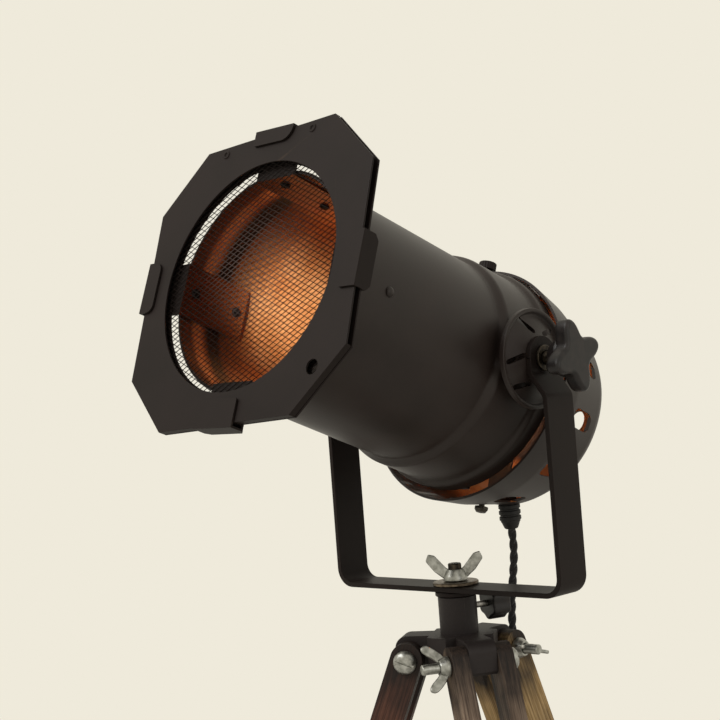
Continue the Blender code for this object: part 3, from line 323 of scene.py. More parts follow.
def moulded(name, base, roughness, scale, dark, light, smoothest, dullest):
    """Moulded plastic or rubber, hazed by hands: the material, its tree, shader and haze."""
    made, tree, shader = surface(name, base, roughness, Specular_IOR_Level=0.3)
    haze = noise(tree, own_place(tree), scale)
    shade = ramp(tree, haze, [(0.4, dark), (0.7, light)])
    feed(tree, shader, Base_Color=shade, Roughness=spread(tree, haze, smoothest, dullest))
    return made, tree, shader, haze


phenolic = moulded("moulded_phenolic", "#242120", 0.40, 0.2, "#1b1817", "#2b2523", 0.33, 0.5)[0]

# Rubber of the gland, tie and plug: dull, with a faint bloom
rubber, tree, shader, bloom = moulded(
    "moulded_rubber", "#1a1918", 0.55, 0.4, "#171615", "#262422", 0.48, 0.66
)
relief(tree, shader, bloom, 0.15, 0.0003)

# Sand-cast iron under black enamel: 2 mm grain, edges chipped to bare metal
cast_iron, tree, shader = surface("enamelled_cast_iron", "#2d2725", 0.5, Specular_IOR_Level=0.2)
grit = noise(tree, own_place(tree), 0.45, 5.0)
chipped = blended(tree, worn_edge(tree, grit, 0.60, 0.72), "#2d2725", "#83796f")
feed(tree, shader, Base_Color=chipped, Roughness=spread(tree, grit, 0.42, 0.62))
relief(tree, shader, grit, 0.3, 0.0005)

# Cotton braid over the cable's twisted cores: plaits of about 1 mm, drawn a little coarse to show
cotton, tree, shader = surface("braided_cotton", "#15130f", 0.88, Sheen_Weight=0.3)
plait = node(
    tree,
    "ShaderNodeTexChecker",
    [(attribute(tree, "weave"), "Vector")],
    Scale=1.0,
    Color1=colour("#1d1a17"),
    Color2=colour("#0d0c0b"),
)
feed(tree, shader, Base_Color=plait.outputs["Color"])
relief(tree, shader, plait.outputs["Fac"], 0.4, 0.0003)

# Clear blown glass, glazed ceramic and dull steel strip for the pieces inside the cap
glass, tree, shader = surface("blown_soda_glass", "#f4f1ea", 0.03, IOR=1.5, Transmission_Weight=1.0)
relief(tree, shader, object_noise(tree, 90.0, 1.0), 0.03, 0.0003)
ceramic, tree, shader = surface("glazed_ceramic", "#cfc7b6", 0.2, IOR=1.5)
glaze = ramp(tree, object_noise(tree, 60.0), [(0.3, "#c4bba8"), (0.7, "#d8d1c2")])
feed(tree, shader, Base_Color=glaze)
strip_steel, tree, shader = surface("strip_steel", "#45413c", 0.45, Metallic=1.0)
feed(tree, shader, Roughness=spread(tree, object_noise(tree, 220.0), 0.3, 0.5))


def timber(name, pale, mid, dark, stain, reach, offset):
    """Rubbed, stained softwood: growth lines 3 mm apart along the slat, a dark stain at its top.

    The stain fades out over reach metres below the hinge.
    """
    made, tree, shader = surface(name, mid, 0.6, Specular_IOR_Level=0.25)
    own = attribute(tree, "own")
    along = mapped(tree, own, (1000.0, 1000.0, 40.0), (offset, offset * 0.7, 0.0))
    bands = node(
        tree, "ShaderNodeTexWave", [(along, "Vector")], Scale=0.1, Distortion=5.0, Detail=3.0
    )
    fibre = noise(tree, along, 1.4, 5.0)
    lines = spread(tree, bands.outputs["Fac"], 0.0, 0.25)
    figure = maths(tree, "ADD", lines, spread(tree, fibre, 0.0, 0.75, 0.3, 0.7))
    grain = ramp(tree, figure, [(0.1, dark), (0.45, mid), (0.85, pale)])
    height = node(tree, "ShaderNodeSeparateXYZ", [(own, "Vector")]).outputs["Z"]
    patches = noise(tree, mapped(tree, own, (70.0, 70.0, 22.0)), 1.0, 5.0)
    depth = spread(tree, height, 0.0, 1.0, -1.4 * reach, -0.7 * reach)
    soak = maths(tree, "ADD", depth, spread(tree, patches, -0.8, 0.8, 0.25, 0.75), clamp=True)
    stained = ramp(tree, figure, [(0.2, stain[0]), (0.8, stain[1])])
    rough = spread(tree, fibre, 0.5, 0.72)
    feed(tree, shader, Base_Color=blended(tree, soak, grain, stained), Roughness=rough)
    relief(tree, shader, figure, 0.35, 0.0005)
    return made


# three shades of the grain, two of the stain, the stain's reach and the pattern's offset
wood_looks = {
    "front": ("#a08c76", "#86715e", "#5e4c3e", ("#1d1714", "#3c3028"), 0.030, 0.0),
    "rear": ("#c6a676", "#ad8d5c", "#7f653f", ("#1b1512", "#33271d"), 0.028, 31.0),
    "left": ("#6b4636", "#523326", "#38231a", ("#181210", "#2a1f1a"), 0.036, 57.0),
}
woods = [timber("stained_pine_" + leg_name, *look) for leg_name, look in wood_looks.items()]


# Modelling helpers


def fresh():
    """Leave edit mode and select nothing."""
    if bpy.context.object and bpy.context.object.mode != "OBJECT":
        bpy.ops.object.mode_set(mode="OBJECT")
    bpy.ops.object.select_all(action="DESELECT")


def pick(obj):
    """Make one object the only selected one."""
    fresh()
    obj.select_set(True)
    bpy.context.view_layer.objects.active = obj
    return obj


def editing(obj):
    """Open a mesh with all of it selected."""
    pick(obj)
    bpy.ops.object.mode_set(mode="EDIT")
    bpy.ops.mesh.select_all(action="SELECT")


def named(name):
    """Name the piece just made and settle its place in its mesh."""
    obj = bpy.context.object
    obj.name = name
    obj.data.name = name
    bpy.ops.object.transform_apply(location=True, rotation=True, scale=True)
    return obj


def applied(obj):
    """Apply a piece's modifiers in order."""
    pick(obj)
    for step in list(obj.modifiers):
        bpy.ops.object.modifier_apply(modifier=step.name)
    return obj


def ringed(name, rings, sides=64, tube=False):
    """A turned piece from (radius, height) rings: a circle drawn out ring by ring.

    The last ring of a tube meets its first. Any other piece is filled at both ends.
    """
    fresh()
    old_radius, old_height = rings[0]
    start = (0, 0, old_height)
    bpy.ops.mesh.primitive_circle_add(vertices=sides, radius=old_radius, location=start)
    obj = named(name)
    editing(obj)
    for radius, height in list(rings[1:]) + ([rings[0]] if tube else []):
        rise = (0, 0, height - old_height)
        bpy.ops.mesh.extrude_edges_move(TRANSFORM_OT_translate={"value": rise})
        share = radius / old_radius
        bpy.ops.transform.resize(value=(share, share, 1.0), center_override=(0, 0, 0))
        old_radius, old_height = radius, height
    bpy.ops.mesh.select_all(action="SELECT")
    bpy.ops.mesh.remove_doubles(threshold=0.000003)
    if not tube:
        bpy.ops.mesh.fill_holes(sides=0)
    bpy.ops.mesh.normals_make_consistent(inside=False)
    fresh()
    return obj


def plate(name, outlines, thickness, place=Matrix()):
    """A flat plate from closed outlines, the first outside and the others its holes, placed."""
    fresh()
    curve = bpy.data.curves.new(name, "CURVE")
    curve.dimensions = "2D"
    curve.fill_mode = "BOTH"
    curve.extrude = thickness / 2
    for outline in outlines:
        spline = curve.splines.new("POLY")
        spline.points.add(len(outline) - 1)
        for point, (x, y) in zip(spline.points, outline):
            point.co = (x, y, 0.0, 1.0)
        spline.use_cyclic_u = True
    obj = linked(name, curve)
    pick(obj)
    bpy.ops.object.convert(target="MESH")
    obj = bpy.context.object
    editing(obj)
    bpy.ops.mesh.remove_doubles(threshold=0.000003)
    bpy.ops.mesh.dissolve_limited(angle_limit=radians(0.3))
    bpy.ops.mesh.normals_make_consistent(inside=False)
    return moved(obj, place)


def block(name, low, high):
    """A box between two corners, as a start."""
    fresh()
    low = Vector(low)
    high = Vector(high)
    bpy.ops.mesh.primitive_cube_add(size=1.0, location=(low + high) / 2, scale=high - low)
    return named(name)


def moved(obj, matrix):
    """Put a piece where a matrix says, with its place in its mesh."""
    obj.matrix_world = matrix
    pick(obj)
    bpy.ops.object.transform_apply(location=True, rotation=True, scale=True)
    return obj


def combine(obj, others, operation="DIFFERENCE"):
    """Cut a piece with others or join them to it, and use the others up."""
    for other in others if isinstance(others, list) else [others]:
        step = obj.modifiers.new("combine", "BOOLEAN")
        step.operation = operation
        step.solver = "EXACT"
        step.object = other
        applied(obj)
        bpy.data.objects.remove(other, do_unlink=True)
    return obj


def soften(obj, width, segments=2, angle=30.0, clamp=True):
    """Round a piece's real edges, as a brake, a file or a coat of paint leaves them."""
    edge = obj.modifiers.new("soften", "BEVEL")
    edge.width = width
    edge.segments = segments
    edge.limit_method = "ANGLE"
    edge.angle_limit = radians(angle)
    edge.use_clamp_overlap = clamp
    return applied(obj)


def joined(pieces):
    """One object from several meshes, named after the first."""
    pick(pieces[0])
    for other in pieces[1:]:
        other.select_set(True)
    bpy.ops.object.join()
    return bpy.context.object


def finished(obj, matrix, body, mat, stands_for=None, smooth=35.0):
    """Keep the modelling coordinates, place the piece, dress it and tie it to its body."""
    mesh = obj.data
    own = mesh.attributes.new("own", "FLOAT_VECTOR", "POINT")
    places = np.empty(len(mesh.vertices) * 3, dtype=np.float32)
    mesh.vertices.foreach_get("co", places)
    own.data.foreach_set("vector", places)
    moved(obj, matrix)
    bpy.ops.object.shade_smooth_by_angle(angle=radians(smooth))
    even = obj.modifiers.new("even_light", "WEIGHTED_NORMAL")
    even.keep_sharp = True
    applied(obj)
    if mat is not None:
        obj.data.materials.clear()
        obj.data.materials.append(mat)
    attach(obj, body)
    if stands_for:
        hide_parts(stands_for)
    return obj


def two_finishes(obj, outer, inner, test):
    """Give the faces that a test picks, by centre and normal, the second of two finishes."""
    obj.data.materials.clear()
    obj.data.materials.append(outer)
    obj.data.materials.append(inner)
    for face in obj.data.polygons:
        face.material_index = 1 if test(face.center, face.normal) else 0


def looks_inwards(centre, normal):
    """True on a wall that faces the local Z axis."""
    return centre.x * normal.x + centre.y * normal.y < -0.25 * hypot(centre.x, centre.y)


def even_turns(count):
    """Angles evenly round a turn."""
    return [2 * PI * i / count for i in range(count)]


def polar(reaches, start=0.0):
    """Points evenly round the origin at the given distances."""
    turns = even_turns(len(reaches))
    return [(r * cos(a + start), r * sin(a + start)) for r, a in zip(reaches, turns)]


def circle(radius, count, centre=(0.0, 0.0), start=0.0, sweep=2 * PI, closed=True):
    """Points along a circle or an arc."""
    spans = count if closed else count - 1
    turns = [start + sweep * i / spans for i in range(count)]
    return [(centre[0] + radius * cos(a), centre[1] + radius * sin(a)) for a in turns]


def arc(radius, count, centre, start, sweep):
    """Points along an arc, both its ends among them."""
    return circle(radius, count, centre, start, sweep, closed=False)


def stadium(length, width, count=12):
    """A slot with round ends, its length along the second coordinate."""
    reach = length / 2 - width / 2
    top = arc(width / 2, count, (0.0, reach), 0.0, PI)
    return top + arc(width / 2, count, (0.0, -reach), PI, PI)


def rod(name, radius, low, high, sides=32):
    """A round bar along Z, as a start or a drill."""
    return ringed(name, [(radius, low), (radius, high)], sides)


def drill(obj, radius, low, high, place=Matrix(), sides=32):
    """Cut a round hole along the Z axis of a place."""
    return combine(obj, moved(rod("drill", radius, low, high, sides), place))


def rounded(outline, radius, steps=5):
    """An outline with its corners rounded, as far as its sides leave room."""
    smooth = []
    for i, corner in enumerate(outline):
        corner = Vector(corner)
        before = Vector(outline[i - 1]) - corner
        after = Vector(outline[(i + 1) % len(outline)]) - corner
        start = corner + before.normalized() * min(radius, before.length * 0.45)
        end = corner + after.normalized() * min(radius, after.length * 0.45)
        for k in range(steps + 1):
            u = k / steps
            smooth.append(tuple((1 - u) ** 2 * start + 2 * u * (1 - u) * corner + u * u * end))
    return smooth


def strip(path, thickness):
    """Both sides of a bar of even thickness along a flat path, as one outline."""
    track = [Vector(p) for p in path]
    sides = ([], [])
    for i, point in enumerate(track):
        before = (point - track[i - 1] if i else track[1] - point).normalized()
        after = (track[i + 1] - point).normalized() if i + 1 < len(track) else before
        middle = (before + after).normalized()
        across = Vector((-middle.y, middle.x))
        reach = thickness / 2 / max(0.3, across.dot(Vector((-before.y, before.x))))
        sides[0].append(tuple(point + across * reach))
        sides[1].append(tuple(point - across * reach))
    return sides[0] + sides[1][::-1]


# Cable: out of the gland, between the rear leg's slats, down to the floor and to its coil
lying = floor + cord_radius + 0.0003
gland_axis = optic @ shift(0.0018, -(0.0596736 + cap_drop), -0.0810) @ spin(x=PI / 2 + 0.41548)
exit_point = stand.inverted() @ gland_axis @ Vector((0, 0, 0.0163))
exit_way = gland_axis.to_3x3() @ Vector((0, 0, 1))
coil_centre = (-0.0950, 0.0500)
coil_outer = 0.03985
coil_pitch = 0.0059
coil_layers = 2
coil_turns = 3
loop_points = 24
climb = 0.25
coil_start = Vector((coil_centre[0], coil_centre[1] + coil_outer, lying + 0.0011))
route = [
    exit_point,
    exit_point + 0.012 * exit_way,
    (0.0022, 0.0500, -0.1400),
    (0.0020, 0.0470, -0.1750),
    (0.0012, 0.0450, -0.2150),
    (0.0004, 0.0350, -0.2600),
    (-0.0006, 0.0190, -0.3080),
    (-0.0014, 0.0105, -0.3600),
    (-0.0018, 0.0080, -0.4400),
    (-0.0016, 0.0085, -0.5600),
    (-0.0018, 0.0070, floor + 0.1000),
    (-0.0040, 0.0060, floor + 0.0560),
    (-0.0105, 0.0080, floor + 0.0190),
    (-0.0240, 0.0190, lying + 0.0012),
    (-0.0360, 0.0390, lying + 0.0004),
    (-0.0440, 0.0640, lying + 0.0004),
    (-0.0570, 0.0840, lying + 0.0004),
    (-0.0700, 0.0896, lying + 0.0011),
    coil_start + Vector((0.0080, 0.0, 0.0)),
    coil_start + Vector((0.0060, 0.0, 0.0)),
]


def smooth_route(points, spacing):
    """Evenly spaced points along one smooth curve through the given ones."""
    knots = np.array([tuple(p) for p in points])
    lengths = np.concatenate([[0.0], np.cumsum(np.linalg.norm(np.diff(knots, axis=0), axis=1))])
    count = len(knots)
    gaps = np.diff(lengths)
    system = np.zeros((count, count))
    turns = np.zeros((count, 3))
    system[0, 0] = system[-1, -1] = 1.0
    for i in range(1, count - 1):
        system[i, i - 1] = gaps[i - 1]
        system[i, i] = 2 * (gaps[i - 1] + gaps[i])
        system[i, i + 1] = gaps[i]
        rise = (knots[i + 1] - knots[i]) / gaps[i] - (knots[i] - knots[i - 1]) / gaps[i - 1]
        turns[i] = 6 * rise
    bend = np.linalg.solve(system, turns)
    fine = []
    for i in range(count - 1):
        h = gaps[i]
        for u in np.linspace(0.0, 1.0, 40, endpoint=i == count - 2):
            near = 1 - u
            fine.append(
                near * knots[i]
                + u * knots[i + 1]
                + h * h / 6 * ((near**3 - near) * bend[i] + (u**3 - u) * bend[i + 1])
            )
    fine = np.array(fine)
    run = np.concatenate([[0.0], np.cumsum(np.linalg.norm(np.diff(fine, axis=0), axis=1))])
    marks = np.linspace(0.0, run[-1], round(run[-1] / spacing) + 1)
    return np.stack([np.interp(marks, run, fine[:, k]) for k in range(3)], axis=1)


cord_sides = 24
twist_length = 0.0150
plait_step = 0.0011


def twisted_rings(track):
    """Rings of points round a route, for two braided cores twisted together, and their runs."""
    ahead = np.gradient(track, axis=0)
    ahead /= np.linalg.norm(ahead, axis=1)[:, None]
    runs = np.concatenate([[0.0], np.cumsum(np.linalg.norm(np.diff(track, axis=0), axis=1))])
    turns = 2 * PI * np.arange(cord_sides) / cord_sides
    reach = cord_radius * (0.64 + 0.36 * np.abs(np.cos(turns)) ** 0.8)
    side = np.cross(ahead[0], (1.0, 0.3, 0.2))
    rings = []
    for place, way, run in zip(track, ahead, runs):
        side = side - way * side.dot(way)
        side /= np.linalg.norm(side)
        other = np.cross(way, side)
        angles = turns + 2 * PI * run / twist_length
        rings.append(
            place
            + (reach * np.cos(angles))[:, None] * side
            + (reach * np.sin(angles))[:, None] * other
        )
    return np.array(rings), runs


def cable_piece(name, rings, runs):
    """A closed tube through rings of points, with the braid's coordinates on its corners."""
    count = len(rings)
    faces = []
    weave = []
    for i in range(count - 1):
        low, high = i * cord_sides, (i + 1) * cord_sides
        for k in range(cord_sides):
            beside = (k + 1) % cord_sides
            faces.append([low + k, low + beside, high + beside, high + k])
            for along, around in ((i, k), (i, k + 1), (i + 1, k + 1), (i + 1, k)):
                a = 12.0 * around / cord_sides
                b = runs[along] / plait_step
                weave += [a + b, a - b, 0.5]
    faces.append(list(range(cord_sides - 1, -1, -1)))
    faces.append([(count - 1) * cord_sides + k for k in range(cord_sides)])
    weave += [0.5] * (3 * 2 * cord_sides)
    mesh = bpy.data.meshes.new(name)
    mesh.from_pydata(rings.reshape(-1, 3).tolist(), [], faces)
    mesh.validate()
    mesh.attributes.new("weave", "FLOAT_VECTOR", "CORNER").data.foreach_set("vector", weave)
    obj = linked(name, mesh)
    editing(obj)
    bpy.ops.mesh.normals_make_consistent(inside=False)
    fresh()
    pick(obj)
    bpy.ops.object.shade_smooth_by_angle(angle=radians(60))
    mesh.materials.append(cotton)
    return obj


cord_track = smooth_route(route, 0.0010) + np.array(lift)
cord_rings, cord_runs = twisted_rings(cord_track)
yoke_mark = int(np.argmax(cord_track[:, 2] < lift.z - 0.1335))
mast_mark = int(np.argmax(cord_track[:, 2] < lift.z - 0.1665))
last = len(cord_track) - 1
# upper body, lower body, first and last ring, and the rings between which it passes from one
# body to the other
stretches = {
    "cord_head": ("head", "yoke_arm", 0, yoke_mark, 2, yoke_mark - 1),
    "cord_yoke": ("yoke_arm", "mast", yoke_mark, mast_mark, yoke_mark + 1, mast_mark - 1),
    "cord": ("mast", "tripod", mast_mark, last, mast_mark + 1, mast_mark + 60),
}
for hidden, (upper, lower, first, end, fades, faded) in stretches.items():
    piece = cable_piece(hidden + "_braid", cord_rings[first : end + 1], cord_runs[first : end + 1])
    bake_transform(piece)
    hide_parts(hidden)

# Coil: its turns spiral in, climb a layer and spiral out again, then run straight to the plug
coil_path = [coil_start + Vector((0.0057, 0.0, 0.0))]
for i in range(coil_layers * coil_turns * loop_points + 1):
    turn = i / loop_points
    layer = min(int(turn // coil_turns), coil_layers - 1)
    within = turn - layer * coil_turns
    radius = coil_outer - coil_pitch * (within if layer % 2 == 0 else coil_turns - within)
    level = float(layer)
    if within < climb and layer > 0:
        level -= 0.5 * (1 - within / climb)
    if within > coil_turns - climb and layer < coil_layers - 1:
        level += 0.5 * (1 - (coil_turns - within) / climb)
    angle = PI / 2 + 2 * PI * turn
    x = coil_centre[0] + radius * cos(angle)
    y = coil_centre[1] + radius * sin(angle)
    coil_path.append(Vector((x, y, coil_start.z + coil_pitch * level)))
plug_axis = floor + 0.0173
coil_end = coil_path[-1]
tail_length = 0.0400
for part in range(1, 6):
    share = part / 5
    ease = share * share * (3 - 2 * share)
    rise = coil_end.z + (plug_axis - coil_end.z) * ease
    coil_path.append(Vector((coil_end.x - tail_length * share, coil_end.y, rise)))
coil_path.append(coil_path[-1] + Vector((-2 * cord_radius, 0.0, 0.0)))
coil_track = smooth_route(coil_path, 0.0013) + np.array(lift)
coil_rings, coil_runs = twisted_rings(coil_track)
coil = cable_piece("cord_coil_braid", coil_rings, coil_runs)
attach(coil, "tripod")
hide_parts("cord_coil")

# Tie round the coil's turns
tie_in = 0.02185
tie_out = 0.04015
tie_low = floor + 0.0009
tie_high = coil_start.z + coil_pitch + cord_radius + 0.0006
tie_wall = 0.0006
tie_loops = [
    rounded([(x0, z0), (x1, z0), (x1, z1), (x0, z1)], 0.0020)
    for x0, x1, z0, z1 in (
        (tie_in - tie_wall, tie_out + tie_wall, tie_low - tie_wall, tie_high + tie_wall),
        (tie_in, tie_out, tie_low, tie_high),
    )
]
tie = soften(plate("coil_tie", tie_loops, 0.0060), 0.0002)
tie_place = stand @ shift(*coil_centre) @ spin(x=PI / 2, z=-PI / 2)
finished(tie, tie_place, "tripod", rubber, "cord_tie")

# Plug: round, two pins, three grip grooves
plug_radius = 0.0170
plug_rings = [(0.0031, 0.0), (0.00425, 0.0007), (0.0047, 0.0045), (0.00525, 0.0101)]
plug_rings += [(0.0070, 0.0133), (0.01054, 0.0175), (0.0143, 0.0215), (0.0164, 0.0240)]
plug_rings += [(plug_radius, 0.0262)]
for groove in (0.0290, 0.0330, 0.0370):
    plug_rings += [(plug_radius, groove), (0.0163, groove + 0.0006)]
    plug_rings += [(0.0163, groove + 0.0014), (plug_radius, groove + 0.0020)]
plug_rings += [(plug_radius, 0.0440), (0.0167, 0.0452), (0.01564, 0.0460)]
plug_place = stand @ shift(coil_path[-1].x - seat, coil_end.y, plug_axis) @ spin(y=-PI / 2)
plug = finished(ringed("plug_body", plug_rings, 72), plug_place, "tripod", rubber, "plug")
pin_rings = [(0.0024, 0.0440), (0.0024, 0.0632), (0.0021, 0.0642), (0.0014, 0.0650)]
pins = [moved(ringed("plug_pins", pin_rings, 24), shift(y=y)) for y in (0.0095, -0.0095)]
pins = finished(joined(pins), plug_place, "tripod", zinc, None)

# Barrel: one drawn sheet, hemmed at its mouth, that widens behind a shoulder and again at its tail
outer_line = [
    (0.0624, mouth),
    (0.0631, mouth - 0.0004),
    (0.0634, mouth - 0.0012),
    (0.0634, mouth - 0.0026),
    (0.0631, mouth - 0.0033),
    (barrel_radius, mouth - 0.0036),
    (barrel_radius, 0.0240),
    (0.0625, 0.0228),
    (0.0631, 0.0215),
    (0.0646, 0.0198),
    (0.0653, 0.0188),
    (waist_radius, 0.0172),
    (waist_radius, -0.0116),
    (0.0660, -0.0129),
    (0.0666, -0.0139),
    (0.0677, -0.0152),
    (0.0682, -0.0162),
    (tail_radius, -0.0175),
    (tail_radius, tail_end),
]
sleeve = barrel_radius - sheet
inner_line = [(r - sheet, z) for r, z in reversed(outer_line[6:])]
inner_line += [(sleeve, mouth - 0.0004), (sleeve + 0.0003, mouth)]
barrel = ringed("barrel_sheet", outer_line + inner_line, 144, tube=True)
bolt_line = head @ spin(y=PI / 2)
drill(barrel, bolt_radius + running, -0.08, 0.08, optic.inverted() @ bolt_line)
# the inner wall takes the copper lacquer with its painted light and shade
two_finishes(barrel, enamel, barrel_copper, looks_inwards)
finished(barrel, optic, "head", None, "barrel", smooth=50)

# Rivets that hold the clips, round the barrel
rivet_rings = [(0.0029, -0.0002), (0.0029, 0.0003), (0.0025, 0.0009), (0.0016, 0.0014)]
rivet_rings += [(0.0004, 0.0016)]
rivet_station = 0.1140
rivets = []
for number in range(4):
    turn = number * PI / 2 + (0.012 if number == 0 else 0.0)
    place = spin(z=turn) @ shift(x=barrel_radius, z=rivet_station) @ spin(y=PI / 2)
    rivets.append(moved(ringed("barrel_rivets", rivet_rings, 20), place))
finished(joined(rivets), optic, "head", enamel, None)

# Rear cap: a cone with a domed end, twelve vents round it, eight in its back and two notches in
# its rim
cap_rim = -0.0240
cone_radius = 0.0621
cone_inner_radius = 0.0609
cone_end = -0.0755
cone_line = [(0.0732, cap_rim), (0.0700, -0.0455), (cone_radius, cone_end)]
dome_depth = 0.0280


def cap_radius(station):
    """Outer radius of the cap's cone and dome at a station."""
    if station < cone_end:
        return cone_radius * sqrt(1 - ((cone_end - station) / dome_depth) ** 2)
    for (r0, s0), (r1, s1) in zip(cone_line, cone_line[1:]):
        if station >= s1:
            return r0 + (r1 - r0) * (station - s0) / (s1 - s0)


cap_outer = [(0.0730, -0.0238), (0.0732, -0.0242), (0.0702, -0.0441), (0.0699, -0.0458)]
cap_outer += [(0.0694, -0.0477), (0.0629, -0.0726)]
cap_inner = [(0.0718, -0.0238), (0.0719, -0.0242), (0.0690, -0.0441), (0.0687, -0.0458)]
cap_inner += [(0.0682, -0.0477), (0.0617, -0.0726)]
domes = ((cap_outer, cone_radius, dome_depth), (cap_inner, cone_inner_radius, dome_depth - sheet))
pole_radius = 0.0004
for step in range(1, 17):
    swing = PI / 2 * step / 16
    for line, radius, depth in domes:
        station = cone_end - depth * sin(swing)
        line.append((max(radius * cos(swing), pole_radius), station))
cap = ringed("cap_sheet", cap_outer[::-1] + cap_inner, 180)
cap_place = optic @ shift(y=-cap_drop)
cone_lean = atan2(0.0079, 0.0300)
facing = spin(y=-cone_lean) @ Matrix(((0, 0, 1, 0), (1, 0, 0, 0), (0, 1, 0, 0), (0, 0, 0, 1)))
vent_station = -0.0600
cuts = []
for vent in range(12):
    turn = radians(-12.8 + 30 * vent)
    place = spin(z=turn) @ shift(x=cap_radius(vent_station), z=vent_station) @ facing
    cuts.append(plate("vent", [stadium(0.0230, 0.0115)], 0.012, place))
for vent in range(8):
    turn = radians(-5 + 45 * vent)
    cuts.append(moved(rod("vent", 0.0068, -0.110, -0.080), spin(z=turn) @ shift(x=0.0320)))
combine(cap, joined(cuts))
thumb_station = -0.0275
in_cap = cap_place.inverted()
drill(cap, disc_radius + 0.001, -0.09, 0.09, in_cap @ bolt_line, 96)
drill(cap, 0.0025, 0.055, 0.085, shift(z=thumb_station) @ spin(x=-PI / 2))
drill(cap, 0.0022, 0.050, 0.080, shift(z=-0.0580) @ spin(x=PI / 2))
drill(cap, 0.0054, -0.008, 0.008, in_cap @ gland_axis)


def looks_into_cap(centre, normal):
    """True on the cap's inner wall."""
    inward = centre - Vector((0, 0, -0.040))
    return inward.dot(normal) < -0.3 * inward.length


two_finishes(cap, enamel, cap_copper, looks_into_cap)
finished(cap, cap_place, "head", None, "rear_cap", smooth=40)

# Tongues inside the cap's rim that carry it, the top one tapped for the thumb screw
tongue_line = [(-0.0190, -0.0100), (-0.0190, 0.0100), (-0.0330, 0.0100)]
tongue_line += [(-0.0345, 0.0085), (-0.0345, -0.0085), (-0.0330, -0.0100)]
for edge_name, way in (("top", 1.0), ("bottom", -1.0)):
    tongue = plate("tongue_" + edge_name, [tongue_line], 0.0014)
    moved(tongue, shift(x=0.0646) @ spin(y=-PI / 2))
    if way > 0:
        drill(tongue, 0.0025, 0.055, 0.080, shift(z=thumb_station) @ spin(y=PI / 2))
    soften(tongue, 0.0002)
    place = optic @ spin(z=way * PI / 2)
    finished(tongue, place, "head", strip_steel, "cap_bracket_" + edge_name)

# Rubber gland: three ribs and a tapered lip round the cable
gland_rings = [(0.0050, -0.0040), (0.0050, 0.0003), (0.0061, 0.0003), (0.0063, 0.0008)]
for rib in (0.0011, 0.0047, 0.0083):
    gland_rings += [(0.0068, rib), (0.0068, rib + 0.0020)]
    gland_rings += [(0.0061, rib + 0.0025), (0.0061, rib + 0.0032)]
gland_rings += [(0.0056, 0.0122), (0.0047, 0.0146), (0.0041, 0.0157), (0.0037, 0.0160)]
gland_rings += [(0.0030, 0.0160), (0.0029, 0.0152)]
gland = ringed("gland_sleeve", gland_rings, 48)
finished(gland, gland_axis, "head", rubber, "cable_gland")

# Knurled thumb screw on top of the cap
thumb_top = cap_radius(cap_rim) - cap_drop + seat
knurl = polar([0.0052, 0.0055] * 24)
thumb = plate("cap_thumb_screw", [knurl], 0.0048, shift(z=thumb_top + 0.0044))
soften(thumb, 0.0004, 2, 60)
combine(thumb, rod("collar", 0.0035, thumb_top, thumb_top + 0.0032), "UNION")
combine(thumb, rod("shank", 0.0021, thumb_top - 0.0085, thumb_top + 0.001), "UNION")
thumb_place = optic @ shift(z=thumb_station) @ spin(x=-PI / 2)
finished(thumb, thumb_place, "cap_thumb", frame_enamel, "cap_screw_top")

# Colour frame: two octagonal plates, closed on three sides by a folded rim
half = 0.0825
chamfer = 0.0325
frame_back = 0.1541
frame_front = frame_back + 2 * sheet + 0.0030


def octagon(reach, corner):
    """A square outline with its corners cut."""
    near = reach - corner
    outline = [(reach, -near), (reach, near), (near, reach), (-near, reach)]
    return outline + [(-x, -y) for x, y in outline]


plate_lines = [octagon(half, chamfer), circle(0.0650, 144), circle(0.0040, 28, (0.0610, -0.0589))]
front = plate("colour_frame_front", plate_lines, sheet, shift(z=frame_front - sheet / 2))
outer_rim = octagon(half, chamfer)
inner_rim = octagon(half - sheet, chamfer)
rim_depth = 0.0030 + 0.5 * sheet - seat
rim_line = (outer_rim[2:] + outer_rim[:1]) + (inner_rim[2:] + inner_rim[:1])[::-1]
rim = plate("rim", [rim_line], rim_depth, shift(z=frame_front - sheet / 2 - rim_depth / 2))
combine(front, rim, "UNION")
behind = plate("colour_frame_back", plate_lines, sheet, shift(z=frame_back + sheet / 2))
for face, hidden in ((front, "gel_frame_front"), (behind, "gel_frame_back")):
    finished(soften(face, 0.00025), holder, "head", frame_enamel, hidden)
eyelet_rings = [(0.0010, -0.0002), (0.0024, -0.0002), (0.0025, 0.0002), (0.0021, 0.0006)]
eyelet_rings += [(0.0014, 0.0006), (0.0010, 0.0002)]
eyelets = [
    moved(ringed("frame_eyelets", eyelet_rings, 28, tube=True), shift(x=x, y=0.0780, z=frame_front))
    for x in (0.034, -0.034)
]
finished(joined(eyelets), holder, "head", frame_enamel, None)

# Safety mesh: expanded metal, its diamonds 5.8 mm wide and 3.2 mm high
mesh_cells = 66
strand_gap = 0.00282
strand_lean = radians(29.2)
net_reach = 0.0745
net_corner = 0.0228
fresh()
bpy.ops.mesh.primitive_grid_add(
    x_subdivisions=mesh_cells,
    y_subdivisions=mesh_cells,
    size=mesh_cells * sqrt(2) / 2,
    rotation=(0, 0, PI / 4),
)
net = named("safety_mesh_strands")
net.scale = (strand_gap / sin(strand_lean), strand_gap / cos(strand_lean), 1.0)
bpy.ops.object.transform_apply(location=True, rotation=True, scale=True)
net_outline = [Vector((*p, 0)) for p in octagon(net_reach, net_corner)]
for i, corner in enumerate(net_outline):
    side_way = net_outline[(i + 1) % 8] - corner
    outwards = (side_way.y, -side_way.x, 0)
    editing(net)
    bpy.ops.mesh.bisect(plane_co=corner, plane_no=outwards, clear_outer=True, threshold=0.000001)
fresh()
strands = net.modifiers.new("strands", "WIREFRAME")
strands.thickness = 0.00060
strands.use_even_offset = False
strands.use_boundary = True
applied(net)
